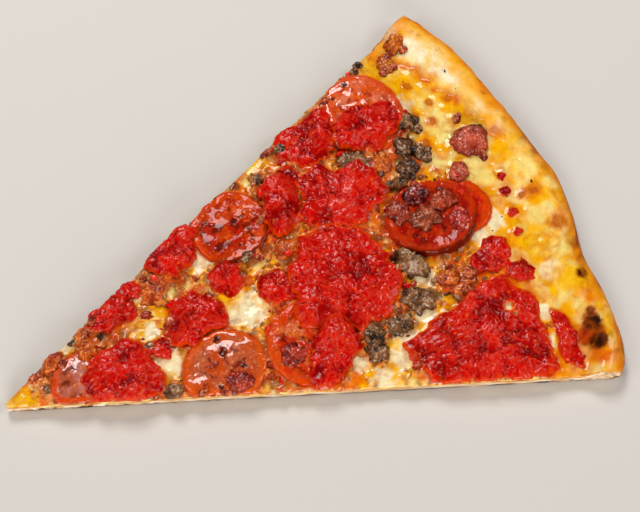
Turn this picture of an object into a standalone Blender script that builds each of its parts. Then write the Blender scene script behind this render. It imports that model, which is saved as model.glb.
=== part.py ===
"""A large slice of thin-crust meat pizza, cut as one eighth of an 18 inch pie.

Frame: +Z up, the flat underside at z = 0, the origin under the middle of the slice's length.
+X runs along the slice from its tip to its crust, and +Y to the left of that.
Every piece is a closed solid. The toppings are laid one by one on what is already there,
a hair above it, as a cook lays them.
"""

import math
from dataclasses import dataclass
from typing import Callable

import bpy
import numpy as np

MM = 0.001

# ---------------------------------------------------------------- driving sizes
LENGTH = 229.0 * MM            # tip to outer edge, half of an 18 inch pie
TIP_ROUND = 2.0 * MM           # the tip is blunt: the two cuts would meet this far beyond it
RADIUS = LENGTH + TIP_ROUND    # from where the cuts meet to the outer edge
TIP_X = -LENGTH / 2 - TIP_ROUND  # where the cuts meet
HALF_ANGLE = math.radians(22.6)  # half of the cut angle, a hand-cut eighth
DOUGH = 3.7 * MM               # baked dough under the cheese
CHEESE = 1.7 * MM              # melted cheese at its full thickness
GAP = 0.3 * MM                 # clearance between touching pieces
PROUD_LEFT = 2.0 * MM          # how far a soft topping may stand past the knife's cut at +Y
PROUD_RIGHT = 0.5 * MM         # and at -Y, where the cut is cleaner

RIM_CREST = 9.0 * MM           # height of the crust's crest
RIM_CREST_IN = 7.0 * MM        # how far in from the edge the crest lies
RIM_BELLY = 4.2 * MM           # height at which the crust stands out furthest
RIM_FOOT_IN = 3.0 * MM         # how far in the underside leaves the table

COLUMNS = 17                   # across the slice
BED_ROWS = 12                  # tip to the foot of the rim
SLOPE_ROWS = 4                 # foot of the rim to the end of the cheese
BARE_ROWS = 3                  # end of the cheese to the crest
ROUND_ROWS = 5                 # crest over the outer edge to the underside


# ---------------------------------------------------------------- the pie's own surfaces
def bump(angle, centre_deg, width_deg):
    """A soft bump of height 1 around one direction of the pie."""
    return np.exp(-(((np.degrees(angle) - centre_deg) / width_deg) ** 2))


def rim_radius(angle):
    """The outer edge, nearly round: a knuckle in the middle, a hollow below it, a worn corner."""
    return (
        RADIUS
        + 2.0 * MM * bump(angle, 17.0, 5.0)
        + 1.5 * MM * bump(angle, -1.0, 2.5)
        - 3.5 * MM * bump(angle, -10.1, 3.6)
        + 1.0 * MM * bump(angle, -19.3, 2.0)
        - 2.5 * MM * bump(angle, -23.0, 1.0)
    )


def rim_width(angle):
    """From the outer edge in to where the crust has sunk to the bed."""
    share = angle / HALF_ANGLE
    return (21.5 + 4.5 * share) * MM


def rim_crest(angle):
    """The crest's height, lower in the hollow."""
    return RIM_CREST - 1.2 * MM * bump(angle, -10.0, 5.0) + 0.6 * MM * bump(angle, 12.0, 7.0)


def cheese_end(angle):
    """How far the cheese runs: near the edge at one corner, well short of it at the other."""
    share = angle / HALF_ANGLE
    bare = (9.0 + 4.0 * (1.0 + share) ** 2) * MM
    return rim_radius(angle) - bare


def dough_top(x, y):
    """Height of the dough: a flat bed that swells in a cosine curve up to the crest."""
    angle = np.arctan2(y, x - TIP_X)
    inward = rim_radius(angle) - np.hypot(x - TIP_X, y)
    climb = (rim_width(angle) - inward) / (rim_width(angle) - RIM_CREST_IN)
    climb = np.clip(climb, 0.0, 1.0)
    return DOUGH + (rim_crest(angle) - DOUGH) * (1.0 - np.cos(math.pi * climb)) / 2


def cheese_top(x, y):
    """Height of the cheese: full thickness on the bed, feathered off at its end, gently uneven."""
    angle = np.arctan2(y, x - TIP_X)
    left = (cheese_end(angle) - np.hypot(x - TIP_X, y)) / (8.0 * MM)
    feather = 0.35 + 0.65 * np.sqrt(np.clip(left, 0.0, 1.0))
    sway = 0.2 * MM * np.sin(110.0 * x + 40.0 * y) * np.sin(90.0 * y - 60.0 * x + 1.0)
    return dough_top(x, y) + GAP + (CHEESE + sway) * feather


# ---------------------------------------------------------------- crust and cheese
def rows_of(angle):
    """Distances from the pie's centre that dough and cheese share, so that their faces match."""
    foot = rim_radius(angle) - rim_width(angle)
    end = cheese_end(angle)
    crest = rim_radius(angle) - RIM_CREST_IN
    bed = TIP_ROUND + (foot - TIP_ROUND) * np.linspace(0.0, 1.0, BED_ROWS)
    slope = foot + (end - foot) * np.linspace(0.0, 1.0, SLOPE_ROWS + 1)[1:]
    bare = end + (crest - end) * np.linspace(0.0, 1.0, BARE_ROWS + 1)[1:]
    return np.concatenate([bed, slope]), bare


def crust_section(angle):
    """One radial section of the dough as (distance, height): bed, rim, outer round, underside."""
    under_cheese, bare = rows_of(angle)
    along = np.concatenate([under_cheese, bare])
    x, y = TIP_X + along * math.cos(angle), along * math.sin(angle)
    top = np.column_stack([along, dough_top(x, y)])
    edge, crest = rim_radius(angle), rim_crest(angle)
    turn = np.linspace(0.0, math.pi, ROUND_ROWS + 2)[1:-1]
    high, low = turn < math.pi / 2, turn >= math.pi / 2
    upper = np.column_stack([
        edge - RIM_CREST_IN * (1.0 - np.sin(turn[high])),
        RIM_BELLY + (crest - RIM_BELLY) * np.cos(turn[high]),
    ])
    lower = np.column_stack([
        edge - RIM_FOOT_IN * (1.0 - np.sin(turn[low])),
        RIM_BELLY * (1.0 + np.cos(turn[low])),
    ])
    under = np.array([[edge - RIM_FOOT_IN, 0.0], [edge / 2, 0.0], [TIP_ROUND, 0.0]])
    return np.vstack([top, upper, lower, under])


def cheese_section(angle):
    """One radial section of the cheese: out along its top and back along its underside."""
    along, _ = rows_of(angle)
    x, y = TIP_X + along * math.cos(angle), along * math.sin(angle)
    top = np.column_stack([along, cheese_top(x, y)])
    under = np.column_stack([along, dough_top(x, y) + GAP])
    return np.vstack([top, under[::-1]])


def sweep(name, material, section):
    """A wedge: the section at each angle from one cut to the other, closed by the cut faces.

    Every patch is split from its inner corner at one angle to its outer corner at the next,
    whichever way the section runs, so that two layers in contact are split alike.
    """
    angles = np.linspace(-HALF_ANGLE, HALF_ANGLE, COLUMNS)
    loops = [section(a) for a in angles]
    count = len(loops[0])
    points = [
        (TIP_X + along * math.cos(a), along * math.sin(a), z)
        for a, loop in zip(angles, loops)
        for along, z in loop
    ]
    faces = []
    for column in range(COLUMNS - 1):
        here, there = column * count, (column + 1) * count
        for i in range(count):
            j = (i + 1) % count
            if loops[column][j][0] > loops[column][i][0]:
                faces.append((here + i, here + j, there + j))
                faces.append((here + i, there + j, there + i))
            else:
                faces.append((here + i, here + j, there + i))
                faces.append((here + j, there + j, there + i))
    ends = [tuple(range(count))[::-1], tuple(range((COLUMNS - 1) * count, COLUMNS * count))]
    solid(name, material, points, faces + ends)
    return np.array(points), faces


# ---------------------------------------------------------------- what has been laid so far
class Relief:
    """Height of everything laid so far, on a square raster over the slice."""

    STEP = 0.5 * MM
    MARGIN = 8.0 * MM

    def __init__(self):
        """Starts with nothing laid."""
        self.x = np.arange(-LENGTH / 2 - self.MARGIN, LENGTH / 2 + self.MARGIN, self.STEP)
        half = RADIUS * math.sin(HALF_ANGLE) + self.MARGIN
        self.y = np.arange(-half, half, self.STEP)
        self.height = np.zeros((len(self.x), len(self.y)))

    def cover(self, points, triangles):
        """Height of a set of triangles over the raster, and minus infinity beside them."""
        over = np.full(self.height.shape, -np.inf)
        for a, b, c in np.asarray(points)[np.asarray(triangles)]:
            low, high = np.minimum(np.minimum(a, b), c), np.maximum(np.maximum(a, b), c)
            columns = slice(*np.searchsorted(self.x, [low[0], high[0]]))
            rows = slice(*np.searchsorted(self.y, [low[1], high[1]]))
            x, y = self.x[columns][:, None] - a[0], self.y[rows][None, :] - a[1]
            u, v = b - a, c - a
            area = u[0] * v[1] - u[1] * v[0]
            if abs(area) < 1e-12 or x.size == 0 or y.size == 0:
                continue
            s = (x * v[1] - y * v[0]) / area
            t = (u[0] * y - u[1] * x) / area
            inside = (s >= -1e-6) & (t >= -1e-6) & (s + t <= 1.0 + 1e-6)
            z = np.where(inside, a[2] + s * u[2] + t * v[2], -np.inf)
            over[columns, rows] = np.maximum(over[columns, rows], z)
        return over

    def add(self, points, triangles):
        """Raises the relief to a laid piece."""
        self.height = np.maximum(self.height, self.cover(points, triangles))

    @staticmethod
    def swollen(values, cells):
        """A raster with every cell raised to the highest one within so many cells of it."""
        result = values.copy()
        for i in range(-cells, cells + 1):
            for j in range(-cells, cells + 1):
                if i * i + j * j <= cells * cells:
                    result = np.maximum(result, np.roll(values, (i, j), (0, 1)))
        return result

    def sample(self, values, x, y):
        """Values of a raster at any points, straight between its cells."""
        i = np.clip((x - self.x[0]) / self.STEP, 0.0, len(self.x) - 1.001)
        j = np.clip((y - self.y[0]) / self.STEP, 0.0, len(self.y) - 1.001)
        i0, j0 = i.astype(int), j.astype(int)
        u, v = i - i0, j - j0
        near = values[i0, j0] * (1 - v) + values[i0, j0 + 1] * v
        far = values[i0 + 1, j0] * (1 - v) + values[i0 + 1, j0 + 1] * v
        return near * (1 - u) + far * u


# ---------------------------------------------------------------- toppings
def to_knife(centre, turn, proud_left, proud_right):
    """Distance from a centre to the nearer cut edge in each direction, or one metre."""
    reach = np.ones(len(turn))
    for side, proud in ((1.0, proud_left), (-1.0, proud_right)):
        normal = np.array([-math.sin(HALF_ANGLE), side * math.cos(HALF_ANGLE)])
        room = proud - (centre - np.array([TIP_X, 0.0])) @ normal
        towards = np.maximum(np.column_stack([np.cos(turn), np.sin(turn)]) @ normal, 1e-6)
        reach = np.minimum(reach, room / towards)
    return reach


@dataclass
class Footprint:
    """The outline of a topping as a distance from its centre in every direction."""

    SAMPLES = 240

    centre: np.ndarray
    reach: np.ndarray

    @staticmethod
    def directions():
        """The directions that an outline is worked out in."""
        return np.arange(Footprint.SAMPLES) * 2 * math.pi / Footprint.SAMPLES

    @classmethod
    def of_lobes(cls, lobes):
        """A puddle run together from round lobes (x, y, radius): the furthest lobe counts."""
        lobes = np.array(lobes) * MM
        weight = lobes[:, 2] ** 2
        centre = (lobes[:, :2] * weight[:, None]).sum(0) / weight.sum()
        turn = cls.directions()
        ray = np.column_stack([np.cos(turn), np.sin(turn)])
        along = (lobes[:, :2] - centre) @ ray.T
        aside = ((lobes[:, :2] - centre) ** 2).sum(1)[:, None] - along**2
        inside = lobes[:, 2][:, None] ** 2 - aside
        exits = np.where(inside > 0, along + np.sqrt(np.maximum(inside, 0.0)), 0.0).max(0)
        return cls(centre, cls.smoothed(exits, 3))

    @classmethod
    def of_oval(cls, x, y, long_radius, short_radius, turn_deg, wobble, seed):
        """An oval, made uneven by a few slow waves round its edge."""
        turn = cls.directions()
        own = turn - math.radians(turn_deg)
        oval = 1.0 / np.hypot(np.cos(own) / long_radius, np.sin(own) / short_radius)
        waves = sum(np.sin(n * turn + seed * (n + 1.3)) / n for n in (2, 3, 5))
        return cls(np.array([x, y]) * MM, oval * MM * (1.0 + wobble * waves))

    @staticmethod
    def smoothed(values, samples):
        """A running mean round the outline."""
        offsets = range(-samples, samples + 1)
        return sum(np.roll(values, k) for k in offsets) / len(offsets)

    def at(self, turn):
        """The outline's distance in any direction."""
        return np.interp(turn, self.directions(), self.reach, period=2 * math.pi)


@dataclass
class Topping:
    """A piece that lies on what is already there."""

    name: str
    material: str
    footprint: Footprint
    height: float
    shape: Callable
    spokes: int
    rings: tuple
    curl: float = 0.0
    edge: float = 0.5 * MM
    proud: tuple = (PROUD_LEFT, PROUD_RIGHT)

    def thickness(self, share):
        """Thickness at a share of the way from the centre to the outline."""
        return np.maximum(self.edge, self.height * self.shape(np.clip(share, 0.0, 1.0)))

    def lay(self, relief):
        """Builds the solid just above whatever it covers, and adds it to the relief."""
        centre, reach = self.footprint.centre, self.footprint.at
        turn = np.arange(self.spokes) * 2 * math.pi / self.spokes
        free = reach(turn)
        cut = np.minimum(free, to_knife(centre, turn, *self.proud))
        share = np.array(self.rings[1:])[:, None] * cut[None, :] / free[None, :]
        x = np.append(centre[0], centre[0] + share * free * np.cos(turn))
        y = np.append(centre[1], centre[1] + share * free * np.sin(turn))
        share = np.append(0.0, share)
        top, bottom = self.faces(upward=True), self.faces(upward=False)

        covered = np.isfinite(relief.cover(np.column_stack([x, y, 0 * x]), top))
        below = np.where(relief.swollen(covered, 1), relief.height, 0.0)
        cell = max(cut.max() * max(np.diff(self.rings)), cut.max() * 2 * math.pi / self.spokes)
        bed = relief.swollen(below, math.ceil(cell / relief.STEP) + 1) + GAP

        under = relief.sample(bed, x, y) + self.curl * share**4
        over = under + self.thickness(share)
        upper, lower = np.column_stack([x, y, over]), np.column_stack([x, y, under])
        solid(self.name, self.material, np.vstack([upper, lower]), top + bottom + self.wall())
        relief.add(upper, top)

    def faces(self, upward):
        """A fan at the middle and bands between the rings, of the top or of the bottom."""
        n, bands = self.spokes, len(self.rings) - 1
        start = 0 if upward else 1 + n * bands
        faces = [(0, 1 + k, 1 + (k + 1) % n) for k in range(n)]
        for ring in range(bands - 1):
            a, b = 1 + ring * n, 1 + (ring + 1) * n
            for k in range(n):
                m = (k + 1) % n
                faces += [(a + k, b + k, b + m), (a + k, b + m, a + m)]
        faces = [tuple(start + i for i in face) for face in faces]
        return faces if upward else [face[::-1] for face in faces]

    def wall(self):
        """The edge between the outermost rings of the top and the bottom."""
        n, bands = self.spokes, len(self.rings) - 1
        rim, half = 1 + (bands - 1) * n, 1 + n * bands
        pairs = [(rim + k, rim + (k + 1) % n) for k in range(n)]
        return [(k, half + k, half + m) for k, m in pairs] + [(k, half + m, m) for k, m in pairs]


def dollop(share):
    """A soft mound, full over most of its width and rounded down at the edge."""
    return (1.0 - share**3) ** 0.6


def disc(share):
    """A flat slice with a slightly rounded edge."""
    return 1.0 - 0.35 * share**12


def lump(share):
    """A boulder of meat, blunt at the edge."""
    return (1.0 - 0.85 * share**2.2) ** 0.7


SMALL_RINGS = (0.0, 0.6, 1.0)
MEDIUM_RINGS = (0.0, 0.45, 0.8, 1.0)
LARGE_RINGS = (0.0, 0.2, 0.4, 0.6, 0.78, 0.92, 1.0)
DISC_RINGS = (0.0, 0.5, 0.85, 1.0)

KNIFE_PLAY = 0.4 * MM
PEPPERONI_THICK = 1.4 * MM
# name: x, y, radius along X, radius along Y, turn in degrees, curl of the edge, all in mm
PEPPERONI = {
    "pepperoni_tip": (-83.8, -8.2, 15.2, 15.8, 0, 0.5),
    "pepperoni_front": (-36.8, -22.2, 16.3, 14.8, 10, 1.4),
    "pepperoni_low": (-3.8, -27.2, 16.8, 17.2, 0, 0.8),
    "pepperoni_upper": (-11.8, 29.8, 15.8, 15.8, 0, 1.2),
    "pepperoni_rim": (58.7, 52.8, 15.8, 19.2, 0, 1.0),
    "pepperoni_tucked": (68.7, -2.2, 17.0, 14.5, 0, 0.4),
    "pepperoni_right": (60.7, -1.2, 18.5, 16.3, -12, 1.2),
}

# name: x, y, long radius, short radius, turn in degrees, height, all in mm
BEEF = {
    "beef_crust_side": (72.3, 41.6, 5.2, 3.3, -5, 3.4),
    "beef_upper_a": (65.8, 31.6, 4.6, 3.8, 70, 3.8),
    "beef_upper_b": (63.3, 22.6, 5.0, 4.2, 60, 3.8),
    "beef_upper_c": (71.1, 26.1, 4.8, 2.8, -60, 3.4),
    "beef_behind": (56.3, 17.8, 4.8, 2.8, -15, 3.0),
    "beef_channel": (44.8, 35.1, 7.4, 3.6, -32, 3.2),
    "beef_right": (44.6, -15.2, 8.6, 4.2, -50, 3.6),
    "beef_low_a": (40.5, -29.2, 7.2, 4.8, -25, 4.0),
    "beef_low_b": (29.8, -35.4, 6.0, 3.9, -5, 3.8),
    "beef_low_c": (18.6, -34.6, 5.0, 4.0, 0, 3.8),
    "beef_low_d": (16.8, -41.7, 4.5, 3.7, 20, 3.4),
    "beef_front": (-57.5, -23.0, 4.0, 3.6, 60, 3.4),
}
SAUSAGE = {
    "sausage_right_a": (58.3, -32.9, 5.6, 4.4, -50, 3.0),
    "sausage_right_b": (54.8, -26.4, 4.6, 3.2, 20, 2.8),
    "sausage_channel": (53.8, 28.6, 5.0, 4.0, 10, 3.0),
    "sausage_centre": (4.5, 11.2, 5.4, 4.6, -20, 3.2),
    "sausage_beside": (5.8, 32.1, 7.5, 2.6, 80, 2.4),
    "sausage_tip_a": (-78.7, 11.8, 5.0, 3.3, 15, 3.2),
    "sausage_tip_c": (-93.2, 7.2, 5.2, 3.0, 25, 2.2),
    "sausage_tip_b": (-79.7, 5.6, 3.8, 3.2, 0, 2.4),
    "sausage_edge_a": (-41.2, 21.1, 8.0, 3.2, -42, 2.8),
    "sausage_edge_b": (-49.2, 16.6, 5.0, 4.2, 20, 2.6),
    "sausage_corner_a": (85.1, 77.6, 4.4, 3.3, 40, 2.6),
    "sausage_corner_b": (77.8, 71.6, 4.8, 3.4, 70, 2.4),
}
BACON = {
    "bacon_crust_side": (91.3, 23.1, 7.8, 6.6, -10, 4.2),
    "bacon_small": (80.5, 12.6, 5.4, 3.4, 45, 2.6),
}
CRUMBLE = {
    "crumble_right_a": (58.8, 9.6, 4.8, 3.7, 0, 3.0),
    "crumble_right_b": (49.6, 5.6, 5.0, 4.0, 80, 2.8),
    "crumble_right_c": (58.3, -0.9, 6.0, 4.6, -15, 3.0),
    "crumble_right_d": (67.8, 2.8, 4.8, 4.0, 0, 2.8),
    "crumble_right_e": (69.8, -7.2, 4.3, 3.5, 75, 1.6),
    "crumble_front": (-33.7, -29.9, 4.6, 3.1, -25, 2.4),
    "crumble_low": (-12.2, -28.9, 4.6, 4.0, 40, 2.4),
}

# name: height, then the lobes (x, y, radius) that a dollop of crushed tomato ran together from, in mm
SAUCE = {
    "sauce_tip": (2.8, (-78, -6.5, 8.5), (-68, -4.5, 9), (-70, -13.5, 9), (-63, -15, 6), (-81, -11, 5)),
    "sauce_edge_left": (2.5, (-69.5, 15.5, 5.8), (-62, 14, 4.2), (-72, 18.5, 4), (-64, 19, 3.5)),
    "sauce_edge_small": (2.0, (-56, 22, 3.8), (-59, 21.5, 3)),
    "sauce_edge_mid": (2.8, (-36, 28.5, 8), (-30, 34, 6), (-38, 24, 4.5), (-44, 28, 4.5)),
    "sauce_left": (3.0, (-43.5, -2.5, 7), (-34, 0.5, 7.3), (-41.5, 4.5, 5.5), (-37, 7.5, 4), (-31, -4, 4)),
    "sauce_left_small": (1.8, (-54, -5, 3.9)),
    "sauce_mid_small": (2.2, (-22, 10.5, 6.3), (-20, 13, 4.2), (-21, 7, 4)),
    "sauce_lobe": (2.8, (-6, -1, 7)),
    "sauce_centre": (
        3.2, (7, -3, 8.5), (19, 3, 9), (29, -7.5, 9.5), (13, -13.5, 12), (3, -16.5, 8),
        (25, -19.5, 10.5), (35, -16.5, 5), (16, -25, 6.5), (30, 3, 6), (13, 8, 6), (22, 9, 5.5),
    ),
    "sauce_low": (2.4, (3, -32.5, 8.5), (-2, -39, 7), (7, -28.5, 6), (-9, -42, 3.5), (9, -34.5, 4.5)),
    "sauce_top_left": (2.8, (9.5, 25.5, 7.5), (12.5, 34, 7.5), (5, 20, 4), (18.5, 40, 5.5)),
    "sauce_top_mid": (
        3.2, (34, 21.5, 12.5), (42, 25.5, 8.5), (26, 30.5, 7), (30, 35.5, 4.5), (21, 20.5, 6),
        (47, 18.5, 5),
    ),
    "sauce_top_edge": (2.8, (27, 51.5, 8.8), (37, 54.5, 6.5), (41, 58.5, 5), (32, 45.5, 5.5), (39, 48.5, 6)),
    "sauce_rim": (1.9, (56, 48, 9.5), (63, 46.5, 8), (57, 41.5, 6.5), (49, 45.5, 7.5), (67, 49, 5)),
    "sauce_right": (
        3.0, (45, -48.5, 10.5), (63, -44.5, 10), (71, -38, 5.5), (49, -60.5, 11.5), (66, -61.5, 12),
        (37, -56.5, 8), (30, -46, 5), (74, -50.5, 6), (65, -70.5, 8), (40, -62.5, 6), (71, -74.5, 4.5),
        (55, -43.5, 6), (77, -47.5, 4.5),
    ),
    "sauce_small_a": (1.9, (77, -23.5, 5.8), (68.5, -26.5, 4.6), (74, -27.5, 4.5)),
    "sauce_small_b": (1.7, (81.8, -36, 4.4), (79, -34.5, 3)),
    "sauce_strip": (
        1.6, (85.5, -55, 3.2), (84.5, -60.5, 3.5), (83.5, -66.5, 4), (81.5, -72.5, 4.2), (83, -77.5, 3.6),
    ),
}

# material: colour (red, green, blue), roughness
LOOKS = {
    "dough": ((0.80, 0.53, 0.22), 0.60),
    "cheese": ((0.93, 0.72, 0.28), 0.35),
    "pepperoni": ((0.55, 0.09, 0.04), 0.30),
    "beef": ((0.13, 0.09, 0.06), 0.65),
    "sausage": ((0.36, 0.13, 0.06), 0.55),
    "bacon": ((0.33, 0.09, 0.07), 0.45),
    "crumble": ((0.16, 0.05, 0.04), 0.45),
    "sauce": ((0.58, 0.01, 0.01), 0.28),
}


def material(name):
    """The named Principled material, made once."""
    if name in bpy.data.materials:
        return bpy.data.materials[name]
    colour, roughness = LOOKS[name]
    made = bpy.data.materials.new(name)
    made.use_nodes = True
    shader = made.node_tree.nodes["Principled BSDF"]
    shader.inputs["Base Color"].default_value = (*colour, 1.0)
    shader.inputs["Roughness"].default_value = roughness
    shader.inputs["Metallic"].default_value = 0.0
    return made


def solid(name, material_name, points, faces):
    """A named object with its own mesh and material, shaded smooth between its creases."""
    mesh = bpy.data.meshes.new(name)
    mesh.from_pydata([tuple(map(float, p)) for p in points], [], faces)
    mesh.validate()
    mesh.shade_smooth()
    mesh.set_sharp_from_angle(angle=math.radians(50))
    mesh.materials.append(material(material_name))
    made = bpy.data.objects.new(name, mesh)
    bpy.context.scene.collection.objects.link(made)
    return made


def slice_of_pepperoni(name, x, y, radius_x, radius_y, turn_deg, curl, seed):
    """A round slice of sausage with its edge curled up a little by the oven."""
    footprint = Footprint.of_oval(x, y, radius_x, radius_y, turn_deg, 0.012, seed)
    return Topping(name, "pepperoni", footprint, PEPPERONI_THICK, disc, 20, DISC_RINGS,
                   curl=curl * MM, edge=0.9 * MM, proud=(KNIFE_PLAY, KNIFE_PLAY))


def meat(name, kind, x, y, long_radius, short_radius, turn_deg, height, seed):
    """A crumble of cooked meat."""
    footprint = Footprint.of_oval(x, y, long_radius, short_radius, turn_deg, 0.07, seed)
    return Topping(name, kind, footprint, height * MM, lump, 9, SMALL_RINGS, edge=0.8 * MM)


def sauce(name, height, lobes):
    """A dollop of crushed tomato, with as many spokes and rings as its size needs."""
    footprint = Footprint.of_lobes(lobes)
    size = footprint.reach.mean()
    if size > 15 * MM:
        spokes, rings = 30, LARGE_RINGS
    elif size > 7.5 * MM:
        spokes, rings = 18, MEDIUM_RINGS
    else:
        spokes, rings = 12, SMALL_RINGS
    return Topping(name, "sauce", footprint, height * MM, dollop, spokes, rings)


def toppings():
    """All toppings in the order that they were laid."""
    laid = [slice_of_pepperoni(name, *row, seed)
            for seed, (name, row) in enumerate(PEPPERONI.items())]
    for kind, rows in (("beef", BEEF), ("sausage", SAUSAGE), ("bacon", BACON)):
        laid += [meat(name, kind, *row, seed) for seed, (name, row) in enumerate(rows.items())]
    laid += [sauce(name, row[0], row[1:]) for name, row in SAUCE.items()]
    laid += [meat(name, "crumble", *row, seed)
             for seed, (name, row) in enumerate(CRUMBLE.items())]
    return laid


def main():
    """Clears the scene and builds the slice from the bottom up."""
    for old in list(bpy.data.objects):
        bpy.data.objects.remove(old)
    relief = Relief()
    relief.add(*sweep("crust", "dough", crust_section))
    relief.add(*sweep("cheese", "cheese", cheese_section))
    for topping in toppings():
        topping.lay(relief)


main()
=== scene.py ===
"""The looks of a large slice of thin-crust meat pizza, dressed over its fixed frame.

Frame: +X from the tip to the crust, +Y to the left, +Z up, in metres. Dough and cheese are
swept as one wedge of a round pie; every topping is then laid on what is already there, with
its plan taken from the frame's own solid.
"""

import logging
import math
from dataclasses import dataclass, field
from enum import Enum

import bmesh
import bpy
import numpy as np
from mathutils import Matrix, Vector


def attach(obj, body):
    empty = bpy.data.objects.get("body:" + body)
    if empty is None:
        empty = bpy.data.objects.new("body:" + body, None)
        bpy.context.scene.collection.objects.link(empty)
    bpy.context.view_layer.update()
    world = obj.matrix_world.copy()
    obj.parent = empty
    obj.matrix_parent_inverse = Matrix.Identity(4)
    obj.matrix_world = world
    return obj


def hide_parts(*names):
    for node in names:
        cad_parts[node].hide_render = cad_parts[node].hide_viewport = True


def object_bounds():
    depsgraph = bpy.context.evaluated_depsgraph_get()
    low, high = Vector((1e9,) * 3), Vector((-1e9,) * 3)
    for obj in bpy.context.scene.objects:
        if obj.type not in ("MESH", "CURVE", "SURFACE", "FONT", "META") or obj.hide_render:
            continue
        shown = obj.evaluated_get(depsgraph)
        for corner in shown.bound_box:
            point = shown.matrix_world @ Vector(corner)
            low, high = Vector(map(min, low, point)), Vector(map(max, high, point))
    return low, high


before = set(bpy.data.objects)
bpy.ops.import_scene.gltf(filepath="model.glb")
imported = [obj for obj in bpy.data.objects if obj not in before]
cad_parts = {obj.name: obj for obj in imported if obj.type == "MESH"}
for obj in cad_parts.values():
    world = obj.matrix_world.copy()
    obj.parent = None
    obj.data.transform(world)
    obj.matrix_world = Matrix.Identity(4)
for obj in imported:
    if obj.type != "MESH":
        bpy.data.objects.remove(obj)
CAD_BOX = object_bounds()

LOG = logging.getLogger("pizza_slice")
MM = 0.001
TURNS = np.arange(720) * 2.0 * math.pi / 720
CEILING = CAD_BOX[1][2] - 0.05 * MM  # nothing stands higher than the frame does
PROUD_LEFT, PROUD_RIGHT = 1.9 * MM, 0.7 * MM  # how far toppings may stand past the cuts


# ---------------------------------------------------------------- colours and soft steps
def tone(red: float, green: float, blue: float) -> np.ndarray:
    """A colour in linear light from its everyday values of 0 to 255, by the sRGB curve."""
    share = np.array([red, green, blue]) / 255.0
    return np.where(share <= 0.04045, share / 12.92, ((share + 0.055) / 1.055) ** 2.4)


def mixed(first: np.ndarray, second: np.ndarray, weight: np.ndarray) -> np.ndarray:
    """Colours between two, first (1 - w) + second w, with the weight kept within 0 and 1."""
    w = np.clip(weight, 0.0, 1.0)[..., None]
    return first * (1.0 - w) + second * w


def eased(low: float, high: float, value: np.ndarray) -> np.ndarray:
    """A soft step from 0 at low to 1 at high: t t (3 - 2 t)."""
    t = np.clip((value - low) / (high - low), 0.0, 1.0)
    return t * t * (3.0 - 2.0 * t)


def bump(angle: np.ndarray, centre_deg: float, width_deg: float) -> np.ndarray:
    """A soft bump of height 1 around one direction of the pie: exp(-((a - c) / w)^2)."""
    return np.exp(-(((np.degrees(angle) - centre_deg) / width_deg) ** 2))


# ---------------------------------------------------------------- natural unevenness
def hashed(i: np.ndarray, j: np.ndarray, seed: int) -> np.ndarray:
    """A fixed random number from 0 to 1 for every lattice corner (i, j)."""
    h = (i.astype(np.int64) * 374761393 + j.astype(np.int64) * 668265263 + seed * 144269504)
    h = h & 0xFFFFFFFF
    h = ((h ^ (h >> 13)) * 1274126177) & 0xFFFFFFFF
    return (h ^ (h >> 16)) / 4294967296.0


def grain(x: np.ndarray, y: np.ndarray, size: float, seed: int = 0) -> np.ndarray:
    """Gradient noise of about -1 to 1: a random slope at each lattice corner, eased between."""
    u, v = x / size, y / size
    i, j = np.floor(u), np.floor(v)
    fu, fv = u - i, v - j

    def slope(di: int, dj: int) -> np.ndarray:
        """The plane through one corner of the lattice."""
        turn = 2.0 * math.pi * hashed(i + di, j + dj, seed)
        return np.cos(turn) * (fu - di) + np.sin(turn) * (fv - dj)

    su, sv = fu**3 * (fu * (fu * 6 - 15) + 10), fv**3 * (fv * (fv * 6 - 15) + 10)
    near = slope(0, 0) * (1 - su) + slope(1, 0) * su
    far = slope(0, 1) * (1 - su) + slope(1, 1) * su
    return 1.5 * (near * (1 - sv) + far * sv)


def layered(x: np.ndarray, y: np.ndarray, size: float, seed: int, layers: int = 3) -> np.ndarray:
    """Noise over noise: the sum of grain(size / 2^k) / 2^k."""
    return sum(grain(x, y, size / 2**k, seed + 7 * k) / 2**k for k in range(layers))


def creased(x: np.ndarray, y: np.ndarray, size: float, seed: int) -> np.ndarray:
    """Winding ridges of height 1 along the zero lines of a warped noise: (1 - |n|)^3."""
    wx = x + 0.45 * size * grain(x, y, 1.7 * size, seed + 3)
    wy = y + 0.45 * size * grain(x, y, 1.7 * size, seed + 4)
    return (1.0 - np.clip(np.abs(grain(wx, wy, size, seed)) * 1.4, 0.0, 1.0)) ** 3


def cells(x: np.ndarray, y: np.ndarray, size: float, seed: int = 0) -> tuple:
    """Cells round scattered points.

    Args:
        x, y: where.
        size: the spacing of the points.
        seed: which scatter.

    Returns:
        Distance to the nearest and to the next point as shares of the spacing, and the
        nearest cell's own random number.
    """
    u, v = x / size, y / size
    i, j = np.floor(u), np.floor(v)
    first, second, own = np.full(u.shape, 9.0), np.full(u.shape, 9.0), np.zeros(u.shape)
    for di in (-1, 0, 1):
        for dj in (-1, 0, 1):
            a, b = i + di, j + dj
            apart = np.hypot(u - a - hashed(a, b, seed), v - b - hashed(a, b, seed + 17))
            nearer = apart < first
            second = np.where(nearer, first, np.minimum(second, apart))
            own = np.where(nearer, hashed(a, b, seed + 31), own)
            first = np.where(nearer, apart, first)
    return first, second, own


# ---------------------------------------------------------------- meshes
@dataclass
class Panel:
    """One grid of a skin: points (rows, columns, 3) and the colour at each of them."""

    points: np.ndarray
    tint: np.ndarray
    wraps: bool = False

    def corners(self, start: int) -> np.ndarray:
        """The four corners of every cell, numbered from start."""
        rows, columns = self.points.shape[:2]
        index = start + np.arange(rows * columns).reshape(rows, columns)
        if self.wraps:
            index = np.hstack([index, index[:, :1]])
        return np.stack(
            [index[:-1, :-1], index[1:, :-1], index[1:, 1:], index[:-1, 1:]], axis=-1
        ).reshape(-1, 4)


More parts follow.
